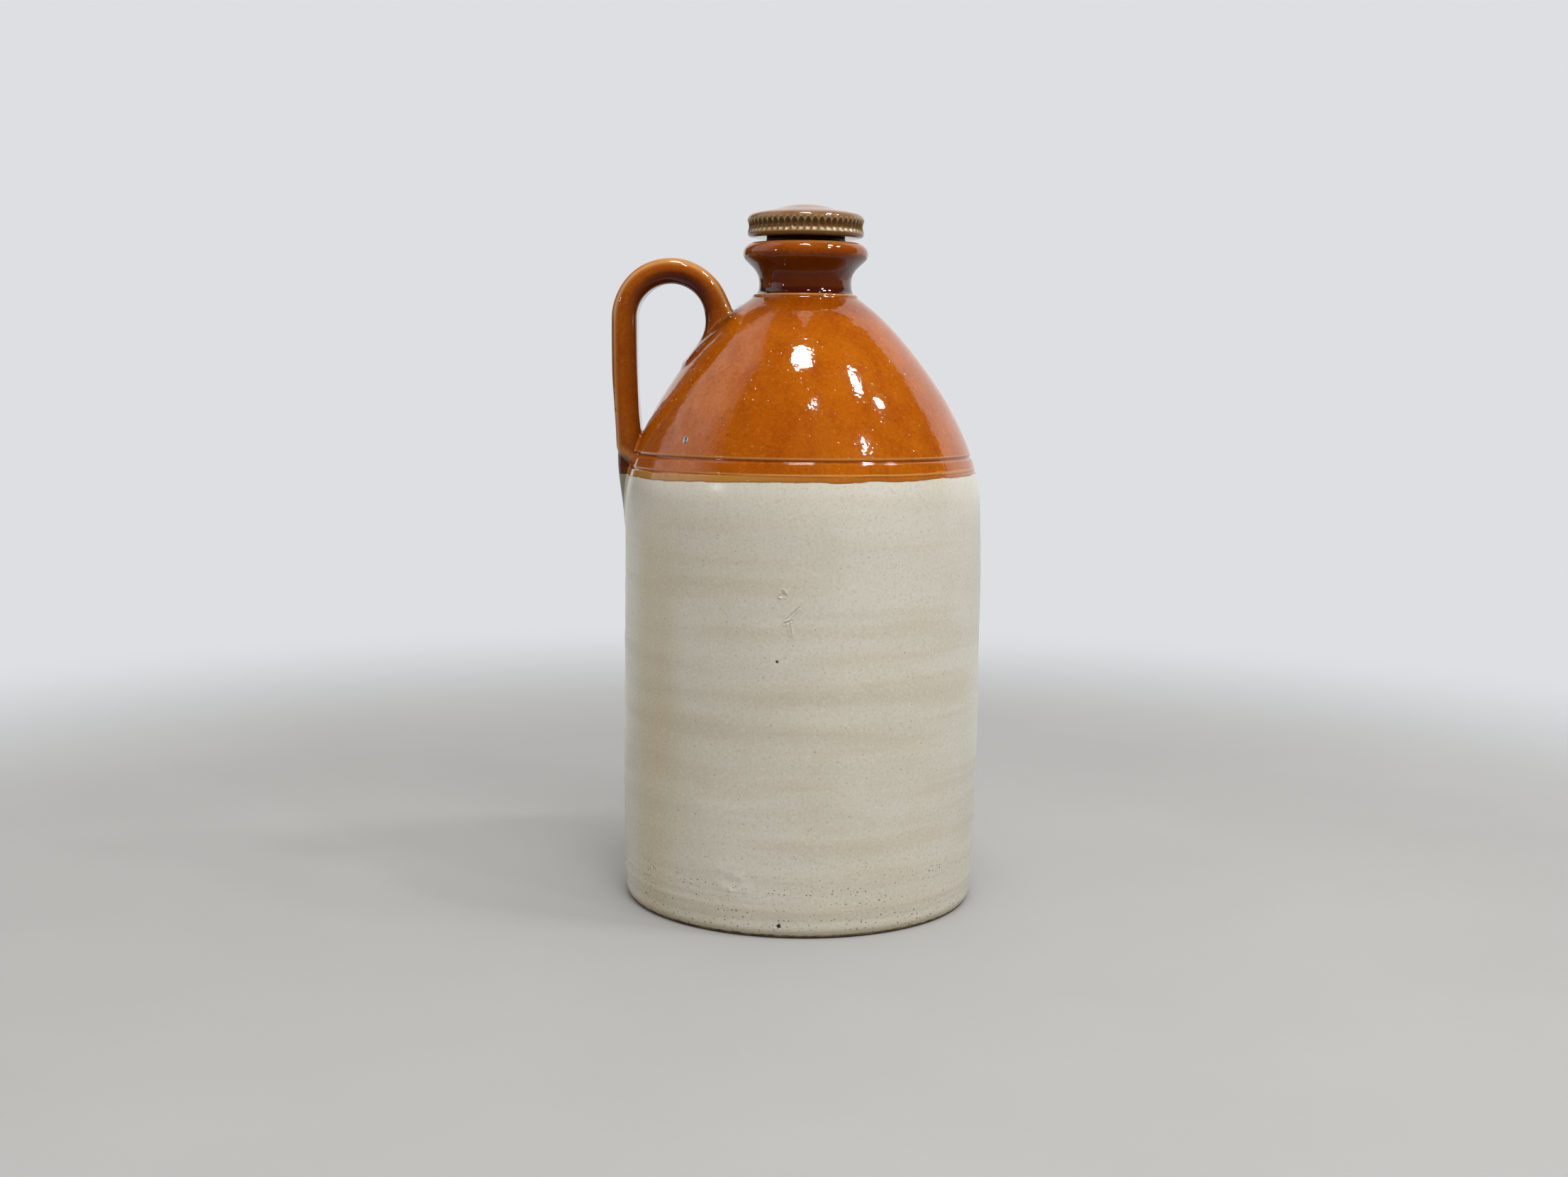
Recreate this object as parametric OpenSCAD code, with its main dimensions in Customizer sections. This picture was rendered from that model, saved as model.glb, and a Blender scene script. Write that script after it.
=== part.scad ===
// Stoneware flagon with a strap handle and an internal screw stopper.
// The ground is z = 0, the axis of the body is Z, and the handle stands on the -X side.

/* [Body] */
// Diameter of the thrown body at the top of its straight wall
body_d = 172; // [150:1:200]
// Height of the straight wall above the ground
wall_h = 194; // [160:1:230]
// How far the wall bellies out between the foot and the shoulder
belly = 0.7; // [0:0.1:2]
// How far the wall draws in at the foot
foot_in = 2.4; // [1:0.2:5]
// Height of the stretch of wall that draws in
foot_h = 20; // [10:1:40]
// Thickness of the thrown wall
wall_t = 8; // [6:0.5:10]
// Thickness of the floor
floor_t = 9; // [6:0.5:14]
// Radius inside, where the wall meets the floor
floor_fillet_r = 14; // [6:1:24]
// Height of the line where the dark glaze ends and the pale glaze begins
glaze_h = 207; // [200:1:212]

/* [Shoulder] */
// Height from the top of the straight wall to the foot of the neck
shoulder_rise = 97.2; // [85:0.1:120]
// How fully the shoulder swells above the wall
shoulder_swell = 32.4; // [20:0.2:45]
// How far the flat top of the shoulder reaches down
shoulder_reach = 30; // [15:0.5:45]
// Slope of the shoulder where it meets the neck, in degrees
shoulder_slope = 32.6; // [20:0.2:45]
// Height of the deep turned line above the top of the straight wall
line_up = 22.6; // [20:0.1:32]
// Radius of the tool that cut the deep turned line
line_tool_r = 0.9; // [0.5:0.1:1.5]
// Height of the fine turned line above the top of the straight wall
fine_line_up = 16; // [14:0.1:18]
// Radius of the tool that cut the fine turned line
fine_tool_r = 0.5; // [0.3:0.1:0.8]

/* [Neck] */
// Radius of the ledge at the foot of the neck
ledge_r = 25.3; // [24:0.1:28]
// Height of the ledge
ledge_h = 1.4; // [0.8:0.1:2.5]
// Radius of the neck at its narrowest
neck_r = 22.2; // [21.2:0.1:23.5]
// Height of the neck from the ledge to the mouth
neck_h = 24.4; // [23:0.2:32]
// Radius of the collar at its widest
collar_r = 30; // [28:0.5:34]
// Height of the collar's rounded edge
collar_h = 7.6; // [6:0.2:10]
// Radius of the flat land round the mouth
land_r = 25.4; // [22:0.2:26.5]
// Radius of the bore through the neck, between the turns of its thread
bore_r = 16.8; // [15.8:0.1:17.4]

/* [Handle] */
// Width of the handle's strap
strap_w = 23; // [16:0.5:30]
// Thickness of the handle's strap
strap_t = 12.2; // [9:0.2:14]
// Radius along the strap's edges
strap_edge_r = 4.2; // [2:0.2:5]
// Radius on the shoulder where the strap's upper end is luted on
root_r = 41.5; // [40:0.5:46]
// How far the upper root splays down the shoulder from there
root_splay = 14; // [8:0.5:15]
// How far the upper root reaches up the shoulder from there
root_back = 6.6; // [5:0.2:8]
// How much wider the upper root is than the strap
root_flare = 7; // [3:0.5:10]
// Height of the loop's centre above the upper root
loop_up = 2.8; // [0:0.2:10]
// Distance from the body's widest radius out to the middle of the outer leg
leg_out = 0.4; // [-1:0.1:4]
// Height above the straight wall at which the strap's full width ends
press_up = 25; // [23:0.5:32]
// How much lower the inner end of the press mark is than its outer end
press_drop = 9; // [5:0.5:11]
// Width of the wiped tail below the press mark
tail_w = 15; // [10:0.5:20]
// How far the strap stands out beyond the body's widest radius at the press mark
press_out = 4; // [2:0.2:6]
// Length of the tail below the press mark, down to where it is flush
tail_len = 38; // [30:0.5:55]

/* [Thread] */
// Rise of the thread in one turn
thread_pitch = 7; // [6:0.25:8.5]
// Turns of thread inside the neck
neck_turns = 2.25; // [1.5:0.25:2.5]
// Turns of thread on the stopper
plug_turns = 2; // [1:0.25:2.25]
// How far each ridge stands out from its wall
ridge_h = 1.9; // [1.2:0.1:2.2]
// Width of a ridge at its foot
ridge_w = 3; // [2:0.1:3.2]
// Width of a ridge at its crest
crest_w = 1.8; // [1:0.1:1.9]
// Gap between a ridge's crest and the wall that it faces
crest_gap = 0.8; // [0.5:0.1:1.2]
// Gap between the bearing sides of the two threads when the stopper is home
side_gap = 0.4; // [0.3:0.05:0.6]

/* [Stopper] */
// Radius of the stopper's head over its two rims
head_r = 28; // [25:0.5:32]
// Height of the head's side, from its underside to the upper rim's top
side_h = 9.6; // [8.6:0.2:12]
// Height of the dome above the head's side
dome_h = 6.6; // [4:0.2:10]
// How far the band between the rims is drawn in
band_in = 0.5; // [0:0.1:1]
// Number of finger flutes round the band
flutes = 53; // [36:1:54]
// Radius of a flute
flute_r = 1.45; // [1:0.05:1.5]
// Depth of a flute below the rims
flute_depth = 1.2; // [0.6:0.1:1.4]
// Height of a flute, over its round ends
flute_h = 6.4; // [4.5:0.1:6.6]
// Length of the screwed plug below the mouth
plug_len = 26; // [22:0.5:30]
// Radius of the rounded lower end of the plug
plug_end_r = 3; // [1:0.5:5]

/* [Seal] */
// Radius of the rubber ring's outside
seal_r = 19; // [18:0.2:21]
// Thickness of the rubber ring
seal_t = 2.4; // [1.5:0.1:4]
// Gap between the ring and the shank that turns in it
shank_gap = 0.3; // [0.2:0.05:0.6]

/* [Hidden] */
$fn = 120;

// Glaze and rubber colours
pale_glaze = [0.80, 0.76, 0.66];
amber_glaze = [0.66, 0.32, 0.08];
olive_glaze = [0.45, 0.30, 0.10];
black_rubber = [0.07, 0.07, 0.07];

// Steps in a curve, along the whole shoulder, in a turn of thread, round the loop and round a strap's corner
curve_steps = 8;
shoulder_steps = 24;
turn_steps = 30;
loop_steps = 16;
corner_steps = 3;
// How deep a luted piece or a ridge runs into the wall behind it
bite = 1;

// Heights and radii that follow from the sizes above
body_r = body_d / 2;
ledge_z = wall_h + shoulder_rise;
mouth_z = ledge_z + ledge_h + neck_h;
head_z = mouth_z + seal_t;
plug_z = mouth_z - plug_len;
crest_r = bore_r - crest_gap;
plug_r = crest_r - ridge_h;
neck_crest_r = plug_r + crest_gap;

// Curves: a cubic through its two ends, pulled towards its two inner points
function cubic(a, b, c, d, t) =
    pow(1 - t, 3) * a + 3 * t * pow(1 - t, 2) * b + 3 * t * t * (1 - t) * c + t * t * t * d;
function cubic_slope(a, b, c, d, t) =
    3 * pow(1 - t, 2) * (b - a) + 6 * t * (1 - t) * (c - b) + 3 * t * t * (d - c);
function cubic_points(a, b, c, d, steps = curve_steps) =
    [for (i = [0 : steps]) cubic(a, b, c, d, i / steps)];

// The wall's outside: drawn in at the foot, then a slight belly
function foot_points() =
    cubic_points([body_r - foot_in, 0], [body_r - foot_in * 0.4, foot_h * 0.1],
                 [body_r, foot_h * 0.45], [body_r, foot_h]);
function wall_r(z) =
    let (u = (z - foot_h) / (wall_h - foot_h)) body_r + belly * 4 * u * (1 - u);
function wall_points() =
    [for (i = [1 : curve_steps]) let (z = foot_h + (wall_h - foot_h) * i / curve_steps) [wall_r(z), z]];

// The shoulder's outside is one cubic, and its inside runs parallel to it
sh_a = [body_r, wall_h];
sh_b = [body_r, wall_h + shoulder_swell];
sh_d = [ledge_r, ledge_z];
sh_c = sh_d + shoulder_reach * [cos(shoulder_slope), -sin(shoulder_slope)];
function shoulder(t) = cubic(sh_a, sh_b, sh_c, sh_d, t);
function shoulder_inside(t) =
    let (s = cubic_slope(sh_a, sh_b, sh_c, sh_d, t)) shoulder(t) + wall_t * [-s.y, s.x] / norm(s);
function at_height(z, lo = 0, hi = 1, n = 24) =
    n == 0 ? (lo + hi) / 2
    : let (m = (lo + hi) / 2) shoulder(m).y < z ? at_height(z, m, hi, n - 1) : at_height(z, lo, m, n - 1);
function at_radius(r, lo = 0, hi = 1, n = 24) =
    n == 0 ? (lo + hi) / 2
    : let (m = (lo + hi) / 2) shoulder(m).x > r ? at_radius(r, m, hi, n - 1) : at_radius(r, lo, m, n - 1);
function outside_r(z) = z < wall_h ? wall_r(z) : shoulder(at_height(z)).x;
glaze_t = at_height(glaze_h);

// The neck rises from its ledge, narrows, flares to the collar and rounds over to the mouth's land
waist_z = ledge_z + ledge_h + neck_h * 0.22;
collar_low = [collar_r - 0.6, mouth_z - collar_h];
collar_high = [collar_r - 1.4, mouth_z - collar_h * 0.21];
function neck_points() = concat(
    [[ledge_r, ledge_z + ledge_h * 0.6]],
    cubic_points([ledge_r - 0.5, ledge_z + ledge_h], [neck_r + 0.4, ledge_z + ledge_h + 0.6],
                 [neck_r, waist_z - 2.6], [neck_r, waist_z]),
    cubic_points([neck_r, waist_z + 0.1], [neck_r, waist_z + 6.4],
                 [collar_low.x - 2.8, collar_low.y - 3.3], collar_low),
    cubic_points(collar_low + [0.1, 0.1], [collar_r + 0.4, collar_low.y + 1.5],
                 [collar_r + 0.4, collar_high.y - 1.6], collar_high),
    cubic_points(collar_high + [-0.1, 0.1], [collar_high.x - 0.9, mouth_z - 0.6],
                 [land_r + 1.2, mouth_z], [land_r, mouth_z]));

// A turned line is a groove that a round tool cut into the shoulder, a little less deep than its radius.
// Its edge is given as a place along the shoulder, below it for side -1 and above it for side 1.
groove_reach = 75;
groove_depth = 1 - cos(groove_reach);
function groove_edge(up, tool_r, side) =
    at_height(wall_h + up + side * (tool_r * sin(groove_reach) + 0.05));
function groove(up, tool_r) =
    let (s = cubic_slope(sh_a, sh_b, sh_c, sh_d, at_height(wall_h + up)),
         along = s / norm(s),
         out = [along.y, -along.x],
         middle = [outside_r(wall_h + up), wall_h + up] + (1 - groove_depth) * tool_r * out)
    [for (i = [-4 : 4]) let (a = groove_reach * i / 4)
        middle + tool_r * (sin(a) * along - cos(a) * out)];

// The solid form in the pale glaze, and the one in the dark glaze above it
function shoulder_points(from, to, steps) =
    [for (i = [0 : steps]) shoulder(from + (to - from) * i / steps)];
function pale_outline() = concat(
    [[0, 0]], foot_points(), wall_points(),
    [for (i = [1 : 4]) shoulder(glaze_t * i / 4)], [[0, glaze_h]]);
function dark_outline() = concat(
    [[0, glaze_h]],
    shoulder_points(glaze_t, groove_edge(fine_line_up, fine_tool_r, -1), 2),
    groove(fine_line_up, fine_tool_r),
    shoulder_points(groove_edge(fine_line_up, fine_tool_r, 1), groove_edge(line_up, line_tool_r, -1), 3),
    groove(line_up, line_tool_r),
    shoulder_points(groove_edge(line_up, line_tool_r, 1), 1, shoulder_steps),
    neck_points(), [[0, mouth_z]]);

// The hollow: a rounded floor, a straight wall, the shoulder's inside and the bore with its bevelled lip
bore_z = shoulder_inside(1).y + 1.5;
lip = 0.8;
function floor_corner(a) =
    [body_r - wall_t - floor_fillet_r * (1 - cos(a)), floor_t + floor_fillet_r * (1 - sin(a))];
function hollow_outline() = concat(
    [[0, floor_t]],
    [for (i = [0 : curve_steps]) floor_corner(90 - 90 * i / curve_steps)],
    [for (i = [0 : shoulder_steps]) shoulder_inside(i / shoulder_steps)],
    [[bore_r, bore_z], [bore_r, mouth_z - lip], [bore_r + lip, mouth_z],
     [bore_r + lip, mouth_z + bite], [0, mouth_z + bite]]);

// Closed skin over a row of rings that all have the same number of points
module skin(rings) {
    n = len(rings[0]);
    last = len(rings) - 1;
    polyhedron(
        points = [for (ring = rings) each ring],
        faces = concat(
            [[for (i = [0 : n - 1]) i]],
            [for (k = [0 : last - 1], i = [0 : n - 1]) let (j = (i + 1) % n)
                each [[k * n + i, (k + 1) * n + i, k * n + j],
                      [k * n + j, (k + 1) * n + i, (k + 1) * n + j]]],
            [[for (i = [n - 1 : -1 : 0]) last * n + i]]));
}

// A helical ridge of a right-hand thread, which runs out into its wall at both ends.
// foot and crest are the radii of its two sides, and z is the height of its middle at the start.
module helical_ridge(foot, crest, turns, z) {
    steps = ceil(turns * turn_steps);
    runout = turn_steps / 6;
    inward = crest < foot;
    rings = [for (i = [0 : steps])
        let (a = 360 * i / turn_steps,
             h = z + thread_pitch * i / turn_steps,
             full = min(1, min(i, steps - i) / runout),
             wall = foot + (inward ? -0.1 : 0.1),
             c = foot + (inward ? bite : -bite) * (1 - full) * 0.8 + (crest - foot) * full,
             base = foot + (inward ? bite : -bite),
             w = ridge_w / 2 + (ridge_w - crest_w) / 2 * bite / ridge_h,
             v = crest_w / 2,
             ring = [[base, w], [base, -w], [c, -v], [c, v]])
        [for (p = inward ? ring : [ring[1], ring[0], ring[3], ring[2]])
            [p.x * cos(a), p.x * sin(a), h + p.y]]];
    skin(rings);
}

// The strap runs between two lines in the XZ plane, one along its inner side and one along its outer side.
// Each station holds the point on the inner line, the point on the outer line and the width there.
function outward(t) = let (s = cubic_slope(sh_a, sh_b, sh_c, sh_d, t)) [-s.y, -s.x] / norm(s);
function on_shoulder(r, out) =
    let (t = at_radius(r), p = shoulder(t)) [-p.x, p.y] + out * outward(t);

leg_x = -(body_r + leg_out);
root = on_shoulder(root_r, 0);
loop_r = (root.x - leg_x) / 2;
loop_mid = [(root.x + leg_x) / 2, root.y + loop_up];
loop_start = 28;
function loop_point(a, r) = loop_mid + r * [cos(a), sin(a)];
function loop_stations() =
    [for (i = [0 : loop_steps]) let (a = loop_start + (180 - loop_start) * i / loop_steps)
        [loop_point(a, loop_r - strap_t / 2), loop_point(a, loop_r + strap_t / 2), strap_w]];

// The upper root: both lines leave the loop and splay out onto the shoulder, most of all down its slope
root_sink = -1.4;
root_low = on_shoulder(root_r + root_splay, root_sink);
root_high = on_shoulder(root_r - root_back, root_sink);
function root_stations() = concat(
    [[on_shoulder(root_r + root_splay - bite, -wall_t * 0.6),
      on_shoulder(root_r - root_back + bite, -wall_t * 0.6), strap_w + root_flare]],
    [for (i = [0 : 5])
        let (u = i / 6,
             down = [sin(loop_start), -cos(loop_start)],
             top_in = loop_point(loop_start, loop_r - strap_t / 2),
             top_out = loop_point(loop_start, loop_r + strap_t / 2))
        [cubic(root_low, root_low + [5, 5], top_in + 10 * down, top_in, u),
         cubic(root_high, root_high + [-0.3, 2], top_out + 4 * down, top_out, u),
         strap_w + root_flare * pow(1 - u, 3)]]);

// The outer leg: it leans in to the press mark, where the full width ends
press_z = wall_h + press_up;
press_low = [-(outside_r(press_z) - 4.5), press_z - press_drop];
press_high = [-(body_r + press_out), press_z];
function leg_stations() =
    [for (i = [1 : 7])
        let (u = i / 7, top_in = [leg_x + strap_t / 2, loop_mid.y], top_out = [leg_x - strap_t / 2, loop_mid.y])
        [cubic(top_in, top_in - [0, 34], press_low + [-3.5, 26], press_low, u),
         cubic(top_out, top_out - [0, 30], press_high + [-1.2, 20], press_high, u), strap_w]];

// The wiped tail: narrower, and flush with the wall at its lower end
tail_z = press_z - tail_len;
function tail_stations() =
    [for (i = [0 : 6])
        let (u = i / 6,
             start = press_high + [0.3, -2.2],
             end = [-(outside_r(tail_z) - 0.5), tail_z],
             out = cubic(start, start + [-0.3, -9], end + [-2.7, 16], end, u),
             z = out.y - press_drop * pow(1 - u, 2))
        [[-(outside_r(z) - 4), z], out, tail_w * (1 - 0.35 * u)]];

// A rounded rectangle, t thick and w wide, as points round its four corners
function strap_section(t, w) =
    let (r = min(strap_edge_r, t * 0.45, w * 0.45))
    [for (corner = [0 : 3], k = [0 : corner_steps])
        let (a = 90 * corner + 90 * k / corner_steps,
             sx = corner == 0 || corner == 3 ? 1 : -1,
             sy = corner < 2 ? 1 : -1)
        [sx * (t / 2 - r) + r * cos(a), sy * (w / 2 - r) + r * sin(a)]];
function strap_ring(station) =
    let (inner = station[0], outer = station[1], mid = (inner + outer) / 2, t = norm(outer - inner),
         across = (outer - inner) / t)
    [for (p = strap_section(t, station[2])) [mid.x + p.x * across.x, p.y, mid.y + p.x * across.y]];

module strap_handle() {
    skin([for (s = concat(root_stations(), loop_stations(), leg_stations(), tail_stations()))
        strap_ring(s)]);
}

module flagon() {
    difference() {
        union() {
            color(pale_glaze) rotate_extrude() polygon(pale_outline());
            color(amber_glaze) rotate_extrude() polygon(dark_outline());
            color(amber_glaze) strap_handle();
        }
        color(amber_glaze) rotate_extrude() polygon(hollow_outline());
    }
    color(amber_glaze) helical_ridge(bore_r, neck_crest_r, neck_turns, neck_thread_z);
}

// The threads: the plug's ridge bears on the underside of the neck's ridge when the stopper is home
plug_thread_z = plug_z + plug_end_r + ridge_w / 2;
pair_w = ridge_w - (ridge_w - crest_w) * (bore_r - plug_r) / (2 * ridge_h);
neck_thread_z = plug_thread_z + pair_w + side_gap - thread_pitch;

// The stopper's head: rounded lower rim, drawn-in band, upper rim, low dome
upper_rim_z = head_z + side_h - 1.2;
lower_rim_z = head_z + 2.2;
band_z = (upper_rim_z + lower_rim_z) / 2;
top_z = head_z + side_h + dome_h;
function head_outline() = concat(
    [[0, head_z], [head_r - 2.6, head_z]],
    cubic_points([head_r - 2.2, head_z + 0.05], [head_r - 0.9, head_z + 0.3],
                 [head_r - 0.1, head_z + 1.2], [head_r, lower_rim_z - 0.4], 6),
    cubic_points([head_r, lower_rim_z], [head_r - band_in * 1.3, lower_rim_z + 1.4],
                 [head_r - band_in * 1.3, upper_rim_z - 1.4], [head_r, upper_rim_z], 5),
    [[head_r, upper_rim_z + 0.5]],
    cubic_points([head_r - 0.5, head_z + side_h - 0.1], [head_r - 0.5, head_z + side_h + dome_h * 0.3],
                 [head_r * 0.92, head_z + side_h + dome_h * 0.33], [head_r * 0.78, head_z + side_h + dome_h * 0.42]),
    cubic_points([head_r * 0.6, head_z + side_h + dome_h * 0.6], [head_r * 0.42, head_z + side_h + dome_h * 0.85],
                 [head_r * 0.22, top_z], [0, top_z]));
function plug_outline() = concat(
    [[0, plug_z]],
    [for (i = [0 : 6]) let (a = 15 * i)
        [plug_r - plug_end_r * (1 - sin(a)), plug_z + plug_end_r * (1 - cos(a))]],
    [[plug_r, head_z + bite], [0, head_z + bite]]);

// A flute is the scoop that a bowed round tool leaves: full depth in the middle, run out at both ends
module flute() {
    bow_r = (pow(flute_h / 2, 2) + pow(flute_depth, 2)) / (2 * flute_depth);
    translate([head_r - flute_depth + bow_r, 0, band_z])
        rotate([90, 0, 0])
            rotate_extrude() translate([bow_r - flute_r, 0]) circle(r = flute_r);
}

module stopper() {
    color(olive_glaze) {
        difference() {
            rotate_extrude() polygon(head_outline());
            for (i = [0 : flutes - 1]) rotate(360 * i / flutes) flute();
        }
        rotate_extrude() polygon(plug_outline());
        helical_ridge(plug_r, crest_r, plug_turns, plug_thread_z);
    }
}

module stopper_seal() {
    inner_r = plug_r + shank_gap;
    round_r = seal_t * 0.45;
    color(black_rubber) rotate_extrude() polygon(concat(
        [[inner_r, mouth_z], [seal_r - round_r, mouth_z]],
        [for (i = [1 : 5]) let (a = -90 + 180 * i / 6)
            [seal_r - round_r + round_r * cos(a), mouth_z + seal_t / 2 * (1 + sin(a))]],
        [[seal_r - round_r, head_z], [inner_r, head_z]]));
}

flagon();
stopper();
stopper_seal();
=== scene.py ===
"""Looks of the stoneware flagon, worked out in millimetres and made in metres, in the part's frame."""
from math import pi, radians

import bmesh
import bpy
import numpy as np
from mathutils import Euler, Matrix, Vector
from mathutils.bvhtree import BVHTree
from mathutils.kdtree import KDTree


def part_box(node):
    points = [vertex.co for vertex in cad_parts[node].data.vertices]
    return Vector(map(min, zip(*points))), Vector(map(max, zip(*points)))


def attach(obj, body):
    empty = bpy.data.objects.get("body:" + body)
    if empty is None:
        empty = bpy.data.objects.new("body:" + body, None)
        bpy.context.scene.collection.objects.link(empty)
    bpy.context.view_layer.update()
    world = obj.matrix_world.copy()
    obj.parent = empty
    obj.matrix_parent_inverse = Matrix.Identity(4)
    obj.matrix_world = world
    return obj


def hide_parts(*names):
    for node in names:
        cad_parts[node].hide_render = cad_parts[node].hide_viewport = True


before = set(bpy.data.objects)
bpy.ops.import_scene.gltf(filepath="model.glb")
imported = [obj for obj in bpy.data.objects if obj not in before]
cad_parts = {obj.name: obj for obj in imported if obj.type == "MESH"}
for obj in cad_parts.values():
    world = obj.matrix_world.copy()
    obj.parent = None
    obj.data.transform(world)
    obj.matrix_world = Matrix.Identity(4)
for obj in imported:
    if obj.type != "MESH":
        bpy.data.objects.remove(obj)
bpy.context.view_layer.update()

MM = 0.001
DEGREES = 180 / pi
flagon_box = np.array(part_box("flagon")) / MM
seal_box = np.array(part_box("stopper_seal")) / MM
stopper_box = np.array(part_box("stopper")) / MM

# The thrown body
BODY_R = 86.0
BELLY = 0.7
WALL_H = 194.0
WALL_T = 8.0
FLOOR_T = 9.0
FLOOR_FILLET = 14.0
FOOT_R = 83.7
FOOT_BEVEL_H = 3.6
FOOT_H = 20.0
GLAZE_H = 207.0
SHOULDER_RISE = 97.2
SHOULDER_SWELL = 32.4
SHOULDER_REACH = 30.0
SHOULDER_SLOPE = radians(32.6)
LINE_Z = WALL_H + 22.6
LINE_R = 0.95
FINE_LINE_Z = WALL_H + 16.0
FINE_LINE_R = 0.55

# The neck, up to the mouth
LEDGE_R = 25.3
LEDGE_H = 1.4
NECK_R = 22.2
COLLAR_R = 30.0
COLLAR_H = 7.6
LAND_R = 25.4
BORE_R = 16.8
LIP = 0.8
MOUTH_Z = round(float(flagon_box[1, 2]), 2)
LEDGE_Z = WALL_H + SHOULDER_RISE
NECK_H = MOUTH_Z - LEDGE_Z - LEDGE_H

# The strap handle
STRAP_W = 23.0
STRAP_T = 12.2
STRAP_EDGE_R = 5.0
ROOT_R = 41.5
ROOT_SPLAY = 14.0
ROOT_BACK = 6.6
ROOT_FLARE = 7.0
LOOP_UP = 2.8
LOOP_START = radians(28)
LEG_X = -(BODY_R + 0.4)
PRESS_Z = WALL_H + 25.0
PRESS_DROP = 9.0
PRESS_OUT = 4.0
TAIL_W = 15.0
TAIL_LEN = 38.0
# How far under the shoulder's skin its upper root starts
SINK = 1.4
# Mesh rings along it
ROOT_STATIONS, LOOP_STATIONS, LEG_STATIONS, TAIL_STATIONS = 25, 43, 34, 30
PRESS_STATION = ROOT_STATIONS + LOOP_STATIONS + LEG_STATIONS
# Clay smeared round its upper root
PAD_H = 0.75
# The fillets of its joints: how near the joint the skin moves, how far, and in how many rounds
JOINT_ZONE = 9.0
JOINT_REACH = 1.7
BLEND_ROUNDS = 6
SMOOTH_ROUNDS = 36

# The thread and the stopper
PITCH = 7.0
NECK_TURNS = 2.25
PLUG_TURNS = 2.0
RIDGE_H = 1.9
RIDGE_W = 3.0
CREST_W = 1.8
CREST_GAP = 0.8
SIDE_GAP = 0.4
PLUG_END_R = 3.0
PLUG_R = BORE_R - CREST_GAP - RIDGE_H
HEAD_R = 28.0
HEAD_Z = round(float(seal_box[1, 2]), 2)
TOP_Z = round(float(stopper_box[1, 2]), 2)
PLUG_Z = round(float(stopper_box[0, 2]), 2)
SIDE_H = 9.6
DOME_H = TOP_Z - HEAD_Z - SIDE_H
BAND_IN = 0.5
BAND_REACH = 3.2
FLUTES = 53
FLUTE_R = 1.45
FLUTE_DEPTH = 1.2
FLUTE_H = 6.4
FLUTE_SOFT = 0.26
SEAL_R = round(float(seal_box[1, 0]), 2)
SEAL_GAP = 0.3
PLUG_THREAD_Z = PLUG_Z + PLUG_END_R + RIDGE_W / 2
PAIR_W = RIDGE_W - (RIDGE_W - CREST_W) * (BORE_R - PLUG_R) / (2 * RIDGE_H)
NECK_THREAD_Z = PLUG_THREAD_Z + PAIR_W + SIDE_GAP - PITCH

# Mesh points round the body, the stopper and the ring
BODY_ANGLES = 220
HEAD_ANGLES = FLUTES * 10
SEAL_ANGLES = 144

# The photograph's viewpoint: metres, and radians down and round
CAMERA_AT = (-0.0085, -0.8826, 0.2566)
CAMERA_DOWN = 0.1199
CAMERA_ROLL = 0.0115
IMAGE_W = 2212
FOCAL_PX = 2557
SENSOR_W = 36.0

# The glazes: a glassy skin, the dipped edge's lean and sway, and the heights that only the material shows
GLAZE_IOR = 1.56
DIP_LEAN = 0.016
DIP_SWAY = 3.2
AMBER_STEP = 0.10
PIMPLE_H = 0.14
PIT_DEPTH = 0.25
# Where the painted warm light on the pale glaze is strongest: degrees to the left of straight ahead from
# the camera, and to each side
PAINTED_WARM_LIGHT_AT = 53
PAINTED_WARM_LIGHT_REACH = 17

# Lamps: angle from the camera's side towards +X, height, width and height in degrees, brightness
LAMPS = [(-5, 76, 12, 8, 20), (68, 58, 4.5, 5.5, 60), (78, 47, 4, 4.5, 60), (47, 38, 3.5, 5, 60),
         (-57, 14, 2.5, 2.5, 30), (10, 58, 1.8, 2.2, 60)]
# The soft key lamp, which the glaze doesn't mirror
KEY = (14, 44, 34, 34, 4.0)
# How much brighter a lamp is in its mirror image
GLINT = 3.0
# Metres from the height that the lamps aim at
LAMPS_AIM_Z = 0.25
LAMP_AWAY = 1.6
MIRRORED_LAMP_AWAY = 1.5
# Radius of the floor in millimetres, and where it passes into the background in metres: mirrored, then seen
FLOOR_R = 4000
FADE_FROM = (0.12, 0.38)
FADE_TO = (0.45, 0.95)


def make_camera():
    """The photograph's viewpoint, 0.88 m in front of the flagon and looking a little down."""
    data = bpy.data.cameras.new("camera")
    data.sensor_width = SENSOR_W
    data.lens = FOCAL_PX / IMAGE_W * SENSOR_W
    camera = bpy.data.objects.new("camera", data)
    tilt = Euler((pi / 2 - CAMERA_DOWN, 0, 0)).to_matrix() @ Matrix.Rotation(CAMERA_ROLL, 3, "Z")
    camera.matrix_world = Matrix.Translation(CAMERA_AT) @ tilt.to_4x4()
    bpy.context.scene.collection.objects.link(camera)
    bpy.context.scene.camera = camera


def cubic(a, b, c, d, t):
    """Points on the cubic from a to d that is pulled towards b and c."""
    a, b, c, d = (np.asarray(p, float) for p in (a, b, c, d))
    t = np.asarray(t, float)[..., None]
    return (1 - t) ** 3 * a + 3 * t * (1 - t) ** 2 * b + 3 * t * t * (1 - t) * c + t ** 3 * d


def steps(count, first=0.0, last=1.0):
    """count places from just after first up to last."""
    return np.linspace(first, last, count + 1)[1:]


def bump(x, centre, width):
    """1 at the centre, falling smoothly to nothing over about two widths."""
    return np.exp(-((x - centre) / width) ** 2)


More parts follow.
